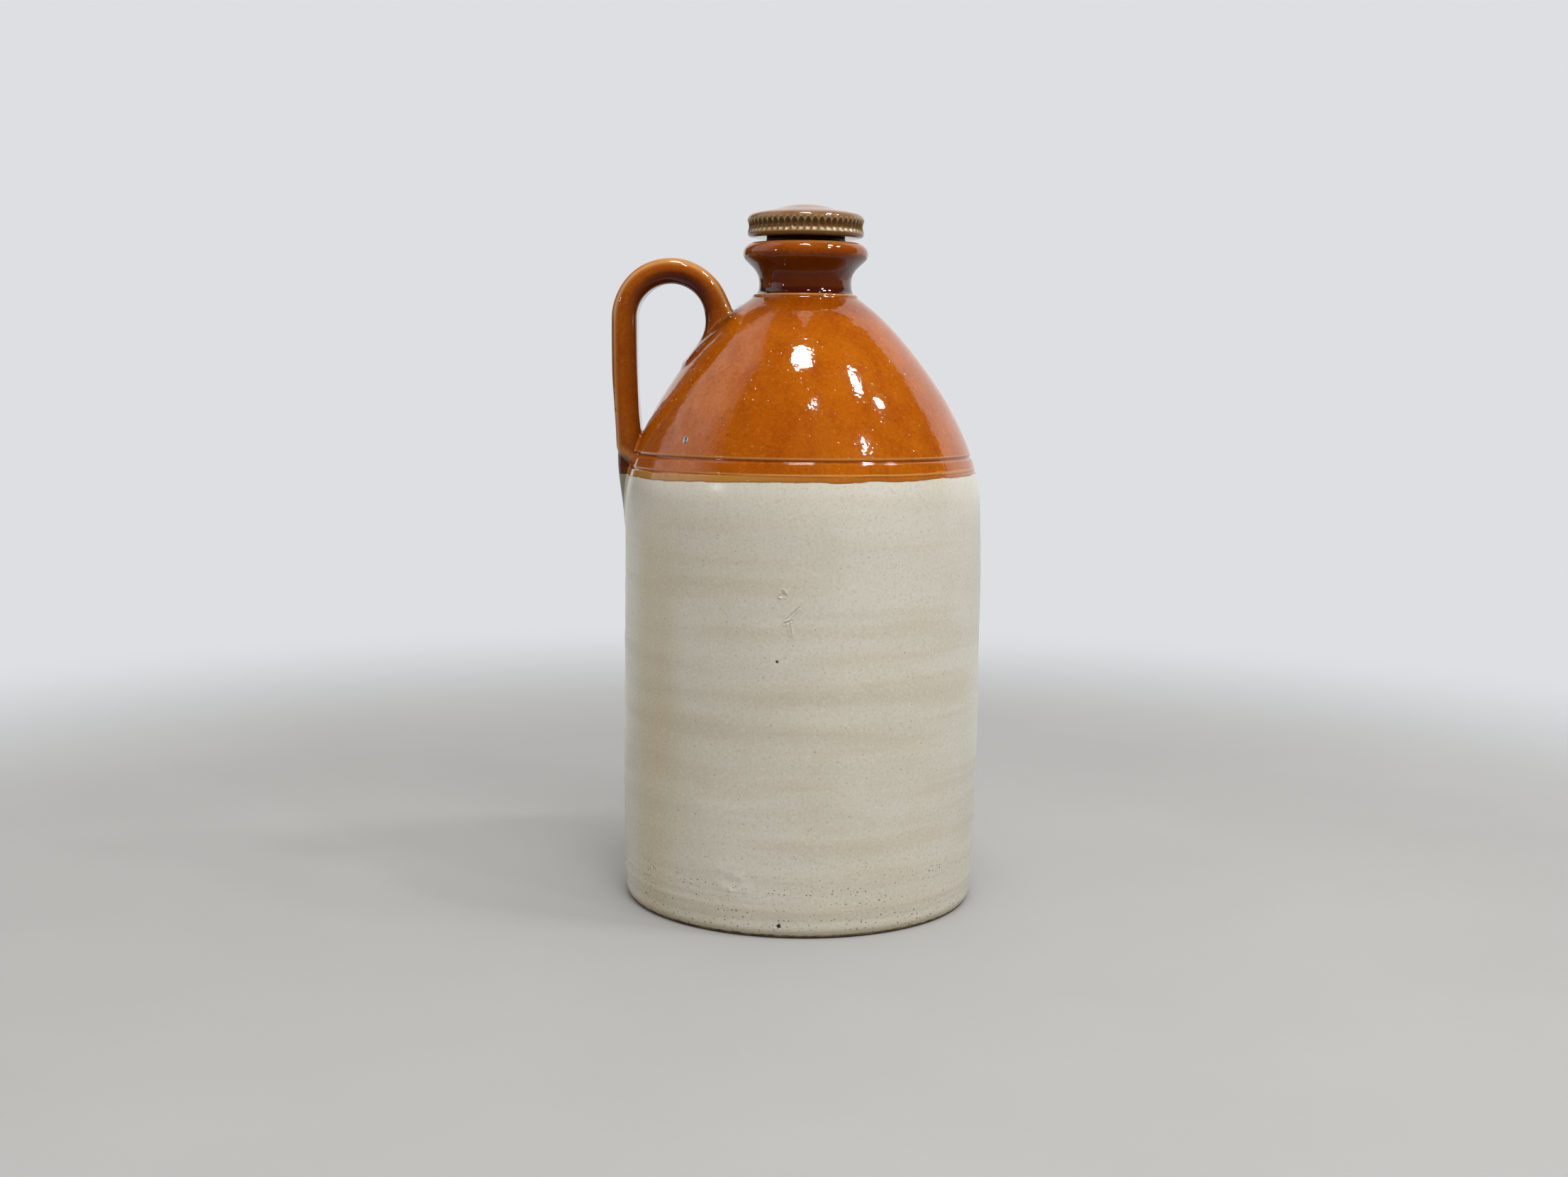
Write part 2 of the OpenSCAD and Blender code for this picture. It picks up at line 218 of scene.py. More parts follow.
def smooth(x, low, high):
    """0 at low and 1 at high, with a smooth step between, rising or falling."""
    t = np.clip((x - low) / (high - low), 0, 1)
    return t * t * (3 - 2 * t)


def waves(seed, theta, z, count, turns, length):
    """Smooth random swells of about unit height over a turned surface."""
    rng = np.random.default_rng(seed)
    total = np.zeros(np.broadcast(theta, z).shape)
    for _ in range(count):
        around = rng.integers(0, turns + 1)
        along = rng.uniform(-2 * pi, 2 * pi) / length
        total = total + np.cos(around * theta + along * z + rng.uniform(0, 2 * pi))
    return total / np.sqrt(count)


# The shoulder's outside is one cubic, and its inside runs parallel to it
SHOULDER = ([BODY_R, WALL_H], [BODY_R, WALL_H + SHOULDER_SWELL],
            [LEDGE_R + SHOULDER_REACH * np.cos(SHOULDER_SLOPE),
             LEDGE_Z - SHOULDER_REACH * np.sin(SHOULDER_SLOPE)],
            [LEDGE_R, LEDGE_Z])
SHOULDER_T = np.linspace(0, 1, 2001)
SHOULDER_LINE = cubic(*SHOULDER, SHOULDER_T)
SHOULDER_DIR = np.gradient(SHOULDER_LINE, axis=0)
SHOULDER_DIR /= np.linalg.norm(SHOULDER_DIR, axis=1)[:, None]


def shoulder_t(z):
    """Place along the shoulder at a height."""
    return np.interp(z, SHOULDER_LINE[:, 1], SHOULDER_T)


def on_shoulder(r, out):
    """Point of the shoulder at radius r on the handle's side, moved out along its normal."""
    t = np.interp(-r, -SHOULDER_LINE[:, 0], SHOULDER_T)
    point = cubic(*SHOULDER, t)
    along = np.array([np.interp(t, SHOULDER_T, SHOULDER_DIR[:, k]) for k in range(2)])
    return np.array([-point[0] - out * along[1], point[1] - out * along[0]])


def wall_r(z):
    """Radius of the wall, which swells a little at half its height."""
    u = (z - FOOT_H) / (WALL_H - FOOT_H)
    return BODY_R + BELLY * 4 * u * (1 - u)


def outside_r(z):
    """Radius of the body's outside at a height."""
    if z < WALL_H:
        return wall_r(z)
    return float(np.interp(z, SHOULDER_LINE[:, 1], SHOULDER_LINE[:, 0]))


def outer_outline():
    """The body's outside from the middle of its base to the edge of the bore, as radius and height."""
    foot_top = [BODY_R - 1.0, FOOT_BEVEL_H]
    foot = cubic([FOOT_R, 0.6], [FOOT_R + 0.5, 1.6], [foot_top[0] - 0.2, FOOT_BEVEL_H - 0.8],
                 foot_top, steps(5))
    draw = cubic(foot_top, [BODY_R - 0.6, 7], [BODY_R, 12], [BODY_R, FOOT_H], steps(20))
    wall_z = np.concatenate([steps(14, FOOT_H, FOOT_H + 16), steps(56, FOOT_H + 16, WALL_H)])
    low = cubic(*SHOULDER, steps(9, 0, shoulder_t(FINE_LINE_Z - 2)))
    lines = cubic(*SHOULDER, steps(30, shoulder_t(FINE_LINE_Z - 2), shoulder_t(LINE_Z + 2.4)))
    high = cubic(*SHOULDER, steps(46, shoulder_t(LINE_Z + 2.4), 1))
    neck_z = LEDGE_Z + LEDGE_H
    waist_z = neck_z + NECK_H * 0.22
    collar_low = np.array([COLLAR_R - 0.6, MOUTH_Z - COLLAR_H])
    collar_high = np.array([COLLAR_R - 1.4, MOUTH_Z - COLLAR_H * 0.21])
    return np.vstack([
        [[0, 0], [30, 0], [60, 0], [78, 0], [FOOT_R - 1.2, 0], [FOOT_R - 0.3, 0.15], [FOOT_R, 0.6]],
        foot, draw, np.column_stack([wall_r(wall_z), wall_z]), low, lines, high,
        [[LEDGE_R + 0.05, LEDGE_Z + LEDGE_H * 0.35], [LEDGE_R - 0.05, LEDGE_Z + LEDGE_H * 0.7],
         [LEDGE_R - 0.3, LEDGE_Z + LEDGE_H * 0.95]],
        cubic([LEDGE_R - 0.6, neck_z], [NECK_R + 0.4, neck_z + 0.5], [NECK_R, waist_z - 2.6],
              [NECK_R, waist_z], steps(12, -0.08)),
        cubic([NECK_R, waist_z], [NECK_R, waist_z + 6.4], collar_low - [2.8, 3.3], collar_low, steps(16)),
        cubic(collar_low, [COLLAR_R + 0.4, collar_low[1] + 1.5], [COLLAR_R + 0.4, collar_high[1] - 1.6],
              collar_high, steps(11)),
        cubic(collar_high, [collar_high[0] - 0.9, MOUTH_Z - 0.6], [LAND_R + 1.2, MOUTH_Z],
              [LAND_R, MOUTH_Z], steps(7)),
        [[LAND_R - 3, MOUTH_Z], [BORE_R + LIP + 0.3, MOUTH_Z], [BORE_R + LIP * 0.4, MOUTH_Z - LIP * 0.3]]])


def inner_outline():
    """The body's inside from the mouth down to the middle of the floor."""
    inside = SHOULDER_LINE + WALL_T * np.column_stack([-SHOULDER_DIR[:, 1], SHOULDER_DIR[:, 0]])
    bore_low = inside[-1, 1] + 1.5
    bore_z = steps(38, MOUTH_Z - LIP, bore_low)
    shoulder = inside[np.linspace(len(inside) - 1, 0, 17).astype(int)]
    floor_top = FLOOR_T + FLOOR_FILLET
    wall_z = steps(9, WALL_H, floor_top)
    corner = np.linspace(0, pi / 2, 6)[1:]
    middle = BODY_R - WALL_T - FLOOR_FILLET
    return np.vstack([
        [[BORE_R, MOUTH_Z - LIP]],
        np.column_stack([np.full(len(bore_z), BORE_R), bore_z]),
        shoulder, np.column_stack([np.full(len(wall_z), BODY_R - WALL_T), wall_z]),
        np.column_stack([middle + FLOOR_FILLET * np.cos(corner),
                         floor_top - FLOOR_FILLET * np.sin(corner)]),
        [[50, FLOOR_T], [25, FLOOR_T], [0, FLOOR_T]]])


def outline_normals(outline):
    """Directions straight out of an outline that has the solid on its left."""
    along = np.gradient(outline, axis=0)
    along /= np.linalg.norm(along, axis=1)[:, None]
    return np.column_stack([along[:, 1], -along[:, 0]])


def thread_relief(theta, z, start, turns):
    """How far a helical ridge stands out from its wall, at each angle and height."""
    relief = np.zeros(np.broadcast(theta, z).shape)
    for lap in range(int(np.ceil(turns)) + 1):
        turn = theta / (2 * pi) + lap
        full = np.clip(np.minimum(turn, turns - turn) * 6, 0, 1)
        away = np.abs(z - start - PITCH * turn)
        side = np.clip((RIDGE_W / 2 - away) / ((RIDGE_W - CREST_W) / 2), 0, 1)
        relief = np.maximum(relief, RIDGE_H * full * smooth(side, 0, 1))
    return relief


# Throwing rings: height of each crest and how far it stands out
RINGS = [(30, 0.34), (43, 0.18), (57.5, 0.38), (69, 0.18), (82, 0.20), (97.5, 0.48), (114, 0.22),
         (127, 0.18), (139, 0.18), (151, 0.18), (163, 0.15), (174.5, 0.17), (186, 0.18), (230, 0.07),
         (243, 0.08), (255, 0.07), (266, 0.06), (277, 0.05)]

# Chance marks: degrees from the photograph's side towards +X, height, how far the mesh is fine, and kind
MARKS = [(-5.9, 157.9, 2.6, "knock"), (-7.5, 127.6, 1.1, "hole"), (-43.6, 224.6, 1.9, "chip"),
         (-6.2, 6.0, 1.9, "pock")]
# Radius of the bare clay that shows in them
BARE_R = {"hole": 0.7, "pock": 1.05, "chip": 1.9}
# Scratches, each from one angle and height to another
SCRATCHES = [(-4.9, 146.8, -1.0, 152.3), (-4.1, 145.6, -3.4, 140.2), (-5.6, 144.9, -3.2, 146.4)]
# Lumps of slurry low on the wall: angle, height, height of the lump and its reach
LUMPS = [(-24.5, 31, 0.40, 2.6), (-20.5, 33, 0.35, 2.2), (-18.6, 28, 0.60, 1.9), (-22.5, 26, -0.55, 2.0),
         (-25.5, 24, 0.35, 2.4), (-21.0, 21, 0.60, 2.1), (-17.0, 23, 0.35, 2.3), (-15.0, 27.5, -0.35, 2.2)]


def throwing_rings(theta, z):
    """The potter's rings, which waver a little on their way round."""
    total = 0.0
    for k, (height, out) in enumerate(RINGS):
        wander = 1.3 * np.sin(theta + 1.9 * k) + 0.9 * np.sin(2 * theta + 2.7 * k)
        strength = 0.75 + 0.3 * np.sin(theta + 2.3 * k + 1) + 0.2 * np.sin(3 * theta + 1.3 * k)
        total = total + out * strength * bump(z, height + wander, 4.2)
    fine = waves(11, theta, z, 14, 3, 3.2) * 0.012 + waves(12, theta, z, 12, 4, 6.5) * 0.022
    return total + fine * (1 - 0.85 * smooth(z, 196, 206))


def facing(theta):
    """Angle in degrees from the photograph's side towards +X."""
    return np.degrees(np.angle(np.exp(1j * (theta + pi / 2))))


def over(theta, z, angle, height):
    """Distance over the wall from a place on it."""
    return np.hypot(np.radians(facing(theta) - angle) * BODY_R, z - height)


def slurry_lumps(theta, z):
    """Lumps and the potter's last turning marks, low on the wall."""
    lumps = sum(out * bump(over(theta, z, angle, height), 0, reach) for angle, height, out, reach in LUMPS)
    sway = 1.2 * np.sin(2 * theta + 1)
    left = smooth(facing(theta), 10, -25)
    marks = (0.16 + 0.12 * left) * bump(z, 13.5 + 0.5 * sway, 1.1) - 0.22 * bump(z, 7.8, 1.5)
    return lumps + marks + left * (0.22 * bump(z, 18.5 + sway, 0.9) + 0.18 * bump(z, 21.8 + sway, 0.9))


def mark_relief(theta, z):
    """Knocks, holes and scratches, which are cut after the body has been given a finer mesh there."""
    total = np.zeros(np.broadcast(theta, z).shape)
    for angle, height, reach, kind in MARKS:
        away = over(theta, z, angle, height)
        turn = np.arctan2(z - height, np.radians(facing(theta) - angle) * BODY_R)
        uneven = 0.8 + 0.5 * np.sin(2 * turn + 0.5) + 0.4 * np.sin(5 * turn)
        rim = bump(away + 0.3 * np.sin(3 * turn), reach * 0.72, 0.42) * uneven
        if kind == "knock":
            total = total - 0.8 * bump(away, 0, 0.75 + 0.25 * np.sin(3 * turn + 1)) + 0.42 * rim
        elif kind == "hole":
            total = total - 0.8 * bump(away, 0, 0.55) + 0.06 * rim
        elif kind == "pock":
            total = total - 0.7 * smooth(away + 0.35 * np.sin(3 * turn + 1), reach * 0.7, reach * 0.25)
        else:
            total = total - 0.45 * smooth(away, reach, reach * 0.6)
    for a, low, b, high in SCRATCHES:
        start, way = np.array([radians(a) * BODY_R, low]), np.array([radians(b - a) * BODY_R, high - low])
        x, y = np.radians(facing(theta)) * BODY_R - start[0], z - start[1]
        along = np.clip((x * way[0] + y * way[1]) / (way @ way), 0, 1)
        away = np.hypot(x - along * way[0], y - along * way[1])
        rough = 1 + 0.5 * np.sin(5.1 * x + 3.3 * y) * np.sin(2.9 * y)
        total = total - 0.34 * rough * bump(away, 0, 0.30) + 0.26 * rough * bump(away, 0.7, 0.30)
    return total


def groove(z, height, tool_r):
    """Depth of a turned line."""
    inside = np.clip(1 - ((z - height) / (tool_r * 1.05)) ** 2, 0, 1)
    return 0.74 * tool_r * np.sqrt(inside)


def lathe(outline, angles, out):
    """Rings of points over a turned outline, each moved along the outline's normal by what out gives."""
    normals = outline_normals(outline)
    theta = np.linspace(0, 2 * pi, angles, endpoint=False)[None, :]
    r, z = outline[:, 0][:, None], outline[:, 1][:, None]
    move = out(theta, z, r)
    r = np.maximum(r + normals[:, 0][:, None] * move, 0)
    z = z + normals[:, 1][:, None] * move
    return np.stack([r * np.cos(theta), r * np.sin(theta), np.broadcast_to(z, r.shape)], axis=-1)


def ring_faces(rows, columns):
    """Quads between each ring of points and the next."""
    place = np.arange(columns)
    after = (place + 1) % columns
    quads = np.column_stack([place, after, after + columns, place + columns])
    return np.vstack([quads + k * columns for k in range(rows - 1)])


def make_piece(name, points, faces):
    """A smooth-shaded object from points in millimetres."""
    mesh = bpy.data.meshes.new(name)
    mesh.from_pydata((np.asarray(points) * MM).tolist(), [], [[int(i) for i in face] for face in faces])
    mesh.validate()
    mesh.shade_smooth()
    piece = bpy.data.objects.new(name, mesh)
    bpy.context.scene.collection.objects.link(piece)
    return piece


def poled_piece(name, rings):
    """A closed piece over rings of points, whose first and last rings are one point each."""
    rows, columns = rings.shape[:2]
    quads = ring_faces(rows, columns)
    first, last = columns - 1, (rows - 1) * columns
    faces = [[0, c - first, d - first] for _, _, c, d in quads[:columns]]
    faces += [list(q - first) for q in quads[columns:-columns]]
    faces += [[a - first, b - first, last - first] for a, b, _, _ in quads[-columns:]]
    return make_piece(name, rings.reshape(-1, 3)[first:last + 1], faces)


def capped_piece(name, rings):
    """A closed piece over rings of points, with a flat cap at each end."""
    rows, columns = rings.shape[:2]
    caps = [list(range(columns - 1, -1, -1)), list(range((rows - 1) * columns, rows * columns))]
    return make_piece(name, rings.reshape(-1, 3), [list(q) for q in ring_faces(rows, columns)] + caps)


def point_array(mesh):
    """The mesh's points in millimetres."""
    flat = np.zeros(len(mesh.vertices) * 3)
    mesh.vertices.foreach_get("co", flat)
    return flat.reshape(-1, 3) / MM


def turned_places(mesh):
    """Angle, radius and height of each of the mesh's points."""
    x, y, z = point_array(mesh).T
    return np.arctan2(y, x), np.hypot(x, y), z


def set_points(mesh, points):
    mesh.vertices.foreach_set("co", (points * MM).ravel())
    mesh.update()


def set_attribute(mesh, name, values):
    """A number at each point, which the material reads by its name."""
    attribute = mesh.attributes.get(name) or mesh.attributes.new(name, "FLOAT", "POINT")
    attribute.data.foreach_set("value", np.asarray(values, np.float32))


def thrown_surface(theta, z, r):
    """How far the finished body stands out from its plain outline."""
    outside = smooth(r, 36, 44) * smooth(z, 4, 12) * smooth(z, 288, 276)
    lumps = 0.16 * waves(5, theta, z, 9, 3, 70) + 0.05 * waves(6, theta, z, 16, 7, 22)
    lean = 0.55 * np.cos(theta) * smooth(z, 10, 90) * smooth(z, 200, 150)
    neck = smooth(z, LEDGE_Z, LEDGE_Z + 4) * 0.05 * waves(8, theta, z, 8, 4, 14)
    fine_line = groove(z, FINE_LINE_Z, FINE_LINE_R) * (0.6 + 0.4 * np.sin(theta * 2 + 1))
    lines = (groove(z, LINE_Z, LINE_R) + fine_line) * (r > 60)
    foot = slurry_lumps(theta, z) * smooth(r, 80, 84) * smooth(z, 4, 6) * smooth(z, 60, 45)
    return outside * (throwing_rings(theta, z) + lumps + lean) + foot + neck - lines


def body_rings():
    outer, inner = outer_outline(), inner_outline()
    outline = np.vstack([outer, inner])
    inside = np.arange(len(outline)) >= len(outer)
    bore = inside & (np.abs(outline[:, 0] - BORE_R) < 0.01)

    def move(theta, z, r):
        wall = np.where(inside[:, None], -0.6 * throwing_rings(theta, z) * (z > 30) * (z < 280), 0)
        out = np.where(inside[:, None], wall, thrown_surface(theta, z, r))
        return out + bore[:, None] * thread_relief(theta, z, NECK_THREAD_Z, NECK_TURNS)

    return lathe(outline, BODY_ANGLES, move)


def strap_section(thick, wide):
    """A rounded rectangle as points round its corners and along its sides: thickness first, then width."""
    r = min(STRAP_EDGE_R, thick * 0.45, wide * 0.45)
    middle, arcs = np.array([thick / 2 - r, wide / 2 - r]), []
    for corner, sign in enumerate([(1, 1), (-1, 1), (-1, -1), (1, -1)]):
        turn = pi / 2 * corner + np.linspace(0, pi / 2, 10)
        arcs.append(sign * middle + r * np.column_stack([np.cos(turn), np.sin(turn)]))
    side = steps(4, 0, 0.8)[:, None]
    return np.vstack([part for arc, after in zip(arcs, arcs[1:] + arcs[:1])
                      for part in (arc, arc[-1] + (after[0] - arc[-1]) * side)])


def thin_corner(section, thick, wide):
    """1 on the middle of the two outer corners of the strap, where the glaze runs thin."""
    r = min(STRAP_EDGE_R, thick * 0.45, wide * 0.45)
    x, y = section[:, 0] - (thick / 2 - r), np.abs(section[:, 1]) - (wide / 2 - r)
    turn = np.degrees(np.arctan2(np.maximum(y, 0), np.maximum(x, 0)))
    return bump(turn, 50, 10) * (x > -0.01) * (y > -0.01)


def handle_stations():
    """Inner point, outer point, width and fillet along the strap: upper root, loop, outer leg and tail."""
    root = on_shoulder(ROOT_R, 0)
    loop_r = (root[0] - LEG_X) / 2
    middle = np.array([(root[0] + LEG_X) / 2, root[1] + LOOP_UP])
    inner_r, outer_r = loop_r - STRAP_T / 2, loop_r + STRAP_T / 2
    down = np.array([np.sin(LOOP_START), -np.cos(LOOP_START)])
    start = np.array([np.cos(LOOP_START), np.sin(LOOP_START)])
    low, high = on_shoulder(ROOT_R + ROOT_SPLAY, -SINK), on_shoulder(ROOT_R - ROOT_BACK, -SINK)
    top_in, top_out = middle + inner_r * start, middle + outer_r * start
    buried = [on_shoulder(r, -WALL_T * 0.6) for r in (ROOT_R + ROOT_SPLAY - 1, ROOT_R - ROOT_BACK + 1)]
    stations = [(*buried, STRAP_W + ROOT_FLARE, 5.0)]
    for u in np.linspace(0, 1, ROOT_STATIONS, endpoint=False):
        stations.append((cubic(low, low + [5, 5], top_in + 10 * down, top_in, u),
                         cubic(high, high + [-0.3, 2], top_out + 4 * down, top_out, u),
                         STRAP_W + ROOT_FLARE * (1 - u) ** 3, 5.0))
    for turn in np.linspace(LOOP_START, pi, LOOP_STATIONS, endpoint=False):
        ray = np.array([np.cos(turn), np.sin(turn)])
        stations.append((middle + inner_r * ray, middle + outer_r * ray, STRAP_W, 4.0))
    side_in, side_out = middle - [inner_r, 0], middle - [outer_r, 0]
    press_low = np.array([-(outside_r(PRESS_Z) - 4.5), PRESS_Z - PRESS_DROP])
    press_high = np.array([-(BODY_R + PRESS_OUT), PRESS_Z])
    for u in np.linspace(0, 1, LEG_STATIONS):
        stations.append((cubic(side_in, side_in - [0, 34], press_low + [-3.5, 26], press_low, u),
                         cubic(side_out, side_out - [0, 30], press_high + [-1.2, 20], press_high, u),
                         STRAP_W, 2.0))
    tail_z = PRESS_Z - TAIL_LEN
    tail_top, tail_end = press_high + [0.3, -2.2], np.array([-(outside_r(tail_z) - 0.5), tail_z])
    for u in np.linspace(0, 1, TAIL_STATIONS):
        out = cubic(tail_top, tail_top + [-0.3, -9], tail_end + [-2.7, 16], tail_end, u)
        z = out[1] - PRESS_DROP * (1 - u) ** 2
        stations.append((np.array([-(outside_r(z) - 4), z]), out, TAIL_W * (1 - 0.35 * u), 1.4))
    return stations


def handle_rings():
    """Rings of the strap, with each point's fillet against the body, its thin glaze with a painted
    highlight along the arch's top, and how much darker it is: a little all along the strap, with painted
    shade on the arch's inner side and over the tail.
    """
    rings, fillets, thin, deep = [], [], [], []
    for k, (inner, outer, wide, fillet) in enumerate(handle_stations()):
        thick = np.linalg.norm(outer - inner)
        across = (outer - inner) / thick
        section = strap_section(thick, wide)
        middle = (inner + outer) / 2
        x = middle[0] + section[:, 0] * across[0]
        z = middle[1] + section[:, 0] * across[1]
        rings.append(np.column_stack([x, section[:, 1], z]))
        outward = section[:, 0] / thick * 2
        fillets.append(np.where(outward > 0.4, min(fillet, 2.4), fillet))
        on_press = bump(k, PRESS_STATION, 1.1) * smooth(outward, -0.9, 0.2)
        on_arch = bump(k, 40, 24)
        # Painted highlight along the top of the arch, carried with the thin glaze.
        painted_crown_highlight = 0.75 * on_arch * smooth(outward, 0.25, 0.95)
        thin.append(np.maximum(thin_corner(section, thick, wide) * (k < PRESS_STATION), on_press) + painted_crown_highlight)
        # Painted shade on the arch's inner side, over a darkening all along the strap; the tail is darkened
        # as painted shade.
        shaded_inner_side = smooth(outward, 0.3 * on_arch, 0.7 * on_arch - 0.9)
        side = 0.42 - 0.26 * on_arch + (0.24 + 0.58 * on_arch) * shaded_inner_side
        deep.append(side if k <= PRESS_STATION else np.full(len(section), 0.9))
    rings = np.array(rings)
    sweep = np.arange(len(rings))[:, None]
    around = np.linspace(0, 2 * pi, rings.shape[1], endpoint=False)[None, :]
    centre = rings.mean(axis=1, keepdims=True)
    away = rings - centre
    away /= np.maximum(np.linalg.norm(away, axis=2, keepdims=True), 0.1)
    lumps = 0.14 * waves(21, around, sweep, 10, 3, 26) + 0.05 * waves(22, around, sweep, 12, 6, 9)
    return rings + away * lumps[..., None], np.array(fillets), np.array(thin), np.array(deep)


def signed_distance(tree, points):
    """Each point's distance from a closed surface, below 0 inside it, and the direction straight out."""
    distance, outward = np.zeros(len(points)), np.zeros((len(points), 3))
    for k, point in enumerate(points):
        point = Vector(point)
        near, normal, _, away = tree.find_nearest(point)
        step = point - near
        # At an edge or a corner, the face that the point lies furthest off tells which side it is on
        off_faces = [step.dot(hit[1]) for hit in tree.find_nearest_range(point, away + 0.001)]
        side = 1 if max(off_faces, key=abs, default=1) >= 0 else -1
        distance[k] = side * away
        outward[k] = side * step / away if away > 0.02 else normal
    return distance, outward


def distances(trees, points):
    """How far the points are from the body and from the strap."""
    return [signed_distance(tree, points)[0] for tree in trees]


def off_joint(trees, points):
    """How far the points are from where the body's and the strap's surfaces meet."""
    return np.max(np.abs(distances(trees, points)), axis=0)


def surface_tree(piece):
    """The piece's surface in millimetres, for finding the nearest place on it."""
    faces = [tuple(face.vertices) for face in piece.data.polygons]
    return BVHTree.FromPolygons(point_array(piece.data).tolist(), faces)


def unite(body, strap):
    """The strap luted to the body as one closed skin."""
    join = body.modifiers.new("join", "BOOLEAN")
    join.operation = "UNION"
    join.solver = "MANIFOLD"
    join.object = strap
    bpy.context.view_layer.update()
    whole = bpy.data.meshes.new_from_object(body.evaluated_get(bpy.context.evaluated_depsgraph_get()))
    whole.materials.clear()
    body.modifiers.clear()
    body.data = whole
    bpy.data.objects.remove(strap)


def refine(mesh, keep):
    """Splits the edges between the points that keep picks out, for finer detail there."""
    shape = bmesh.new()
    shape.from_mesh(mesh)
    edges = [e for e in shape.edges if keep[e.verts[0].index] and keep[e.verts[1].index]]
    bmesh.ops.subdivide_edges(shape, edges=edges, cuts=1, use_grid_fill=True)
    shape.to_mesh(mesh)
    shape.free()


def near_handle(points, margin):
    """Points in the slab of space that holds the strap."""
    return ((points[:, 0] < -30 + margin) & (np.abs(points[:, 1]) < STRAP_W / 2 + ROOT_FLARE / 2 + margin)
            & (points[:, 2] > PRESS_Z - TAIL_LEN - margin) & (np.hypot(points[:, 0], points[:, 1]) > 27))


def strap_lookup(places, notes):
    """A function that gives points the notes of the nearest place of the strap."""
    tree = KDTree(len(places))
    for k, place in enumerate(places):
        tree.insert(Vector(place), k)
    tree.balance()
    return lambda points: notes[:, [tree.find(Vector(p))[1] for p in points]]


def edge_ends(mesh):
    """The two points of each edge, by number."""
    ends = np.zeros(len(mesh.edges) * 2, int)
    mesh.edges.foreach_get("vertices", ends)
    return ends.reshape(-1, 2)


def neighbour_mean(edges, values):
    """Mean of the values over each point's neighbours."""
    total, count = np.zeros_like(values), np.zeros(len(values))
    for a, b in ((0, 1), (1, 0)):
        np.add.at(total, edges[:, a], values[edges[:, b]])
        np.add.at(count, edges[:, a], 1)
    return total / np.maximum(count, 1)[:, None]


def blend_joint(mesh, trees, notes_at):
    """Rounds the crease between strap and body, as the luted clay was smoothed over with a finger."""
    first = point_array(mesh)
    pick = np.flatnonzero(near_handle(first, 10))
    off = off_joint(trees, first[pick])
    pick, off = pick[off < JOINT_ZONE], off[off < JOINT_ZONE]
    fillet = notes_at(first[pick])[0]
    edges = edge_ends(mesh)
    points = first.copy()
    for _ in range(BLEND_ROUNDS):
        here = points[pick]
        (a, out_a), (b, out_b) = (signed_distance(tree, here) for tree in trees)
        share = np.clip(1 - np.abs(a - b) / fillet, 0, 1)
        level = np.minimum(a, b) - share * share * fillet / 4
        weight = np.where(a < b, 1 - share / 2, share / 2)[:, None]
        slope = weight * out_a + (1 - weight) * out_b
        size = np.maximum((slope ** 2).sum(axis=1), 0.4)
        step = np.zeros_like(points)
        step[pick] = np.where(share > 0, np.clip(-level / size, -0.5, 0.5), 0)[:, None] * slope
        step = 0.5 * step + 0.5 * neighbour_mean(edges, step)
        mean = neighbour_mean(edges, points)
        points[pick] += step[pick] + (mean[pick] - here) * 0.35 * np.sqrt(share)[:, None]
        moved = points[pick] - first[pick]
        far = np.linalg.norm(moved, axis=1)
        points[pick] = first[pick] + moved * (np.minimum(far, JOINT_REACH) / np.maximum(far, 1e-6))[:, None]
    tip = on_shoulder(ROOT_R + ROOT_SPLAY, 0)
    at_tip = smooth(np.hypot(first[pick, 0] - tip[0], first[pick, 2] - tip[1]), 18, 9)
    sharp = np.maximum(smooth(off, JOINT_REACH, 0.3), at_tip * smooth(off, 4, 2))[:, None]
    for k in range(SMOOTH_ROUNDS):
        share = 0.6 * sharp if k < SMOOTH_ROUNDS // 3 else 0.6 * sharp * at_tip[:, None]
        points[pick] += share * (neighbour_mean(edges, points)[pick] - points[pick])
    set_points(mesh, points)


def raise_pad(mesh, trees):
    """The pad of clay that was smeared from the strap's upper root on to the shoulder."""
    points = point_array(mesh)
    pick = np.flatnonzero(near_handle(points, 10) & (points[:, 2] > WALL_H + 44))
    here = points[pick]
    (a, outward), (b, _) = (signed_distance(tree, here) for tree in trees)
    theta = np.arctan2(here[:, 1], here[:, 0] + 50)
    wobble = 1 + 0.35 * np.sin(3 * theta + 0.6) + 0.25 * np.sin(7 * theta)
    lift = PAD_H * bump(b, 3.4 + 0.6 * np.sin(5 * theta), 1.7) * wobble * smooth(a, 1.2, 0.3)
    points[pick] += (lift * smooth(here[:, 2], WALL_H + 48, WALL_H + 62))[:, None] * outward
    set_points(mesh, points)


def cut_marks(mesh):
    """The body's knocks, holes and scratches, cut in a mesh that is made finer for them."""
    spots = [mark[:3] for mark in MARKS]
    spots += [((a + b) / 2, (low + high) / 2, abs(high - low) / 2 + 0.8) for a, low, b, high in SCRATCHES]
    spots += [(angle, height, reach - 1.0) for angle, height, _, reach in LUMPS]
    for margin in (3.2, 1.7, 0.8):
        theta, r, z = turned_places(mesh)
        near = [over(theta, z, angle, height) < reach + margin for angle, height, reach in spots]
        refine(mesh, np.any(near, axis=0) & (r > 60))
    points = point_array(mesh)
    theta, r, z = turned_places(mesh)
    out = mark_relief(theta, z) * (r > 70) * (np.abs(r - BODY_R + WALL_T) > 3)
    points[:, :2] *= (1 + out / np.maximum(r, 1))[:, None]
    set_points(mesh, points)


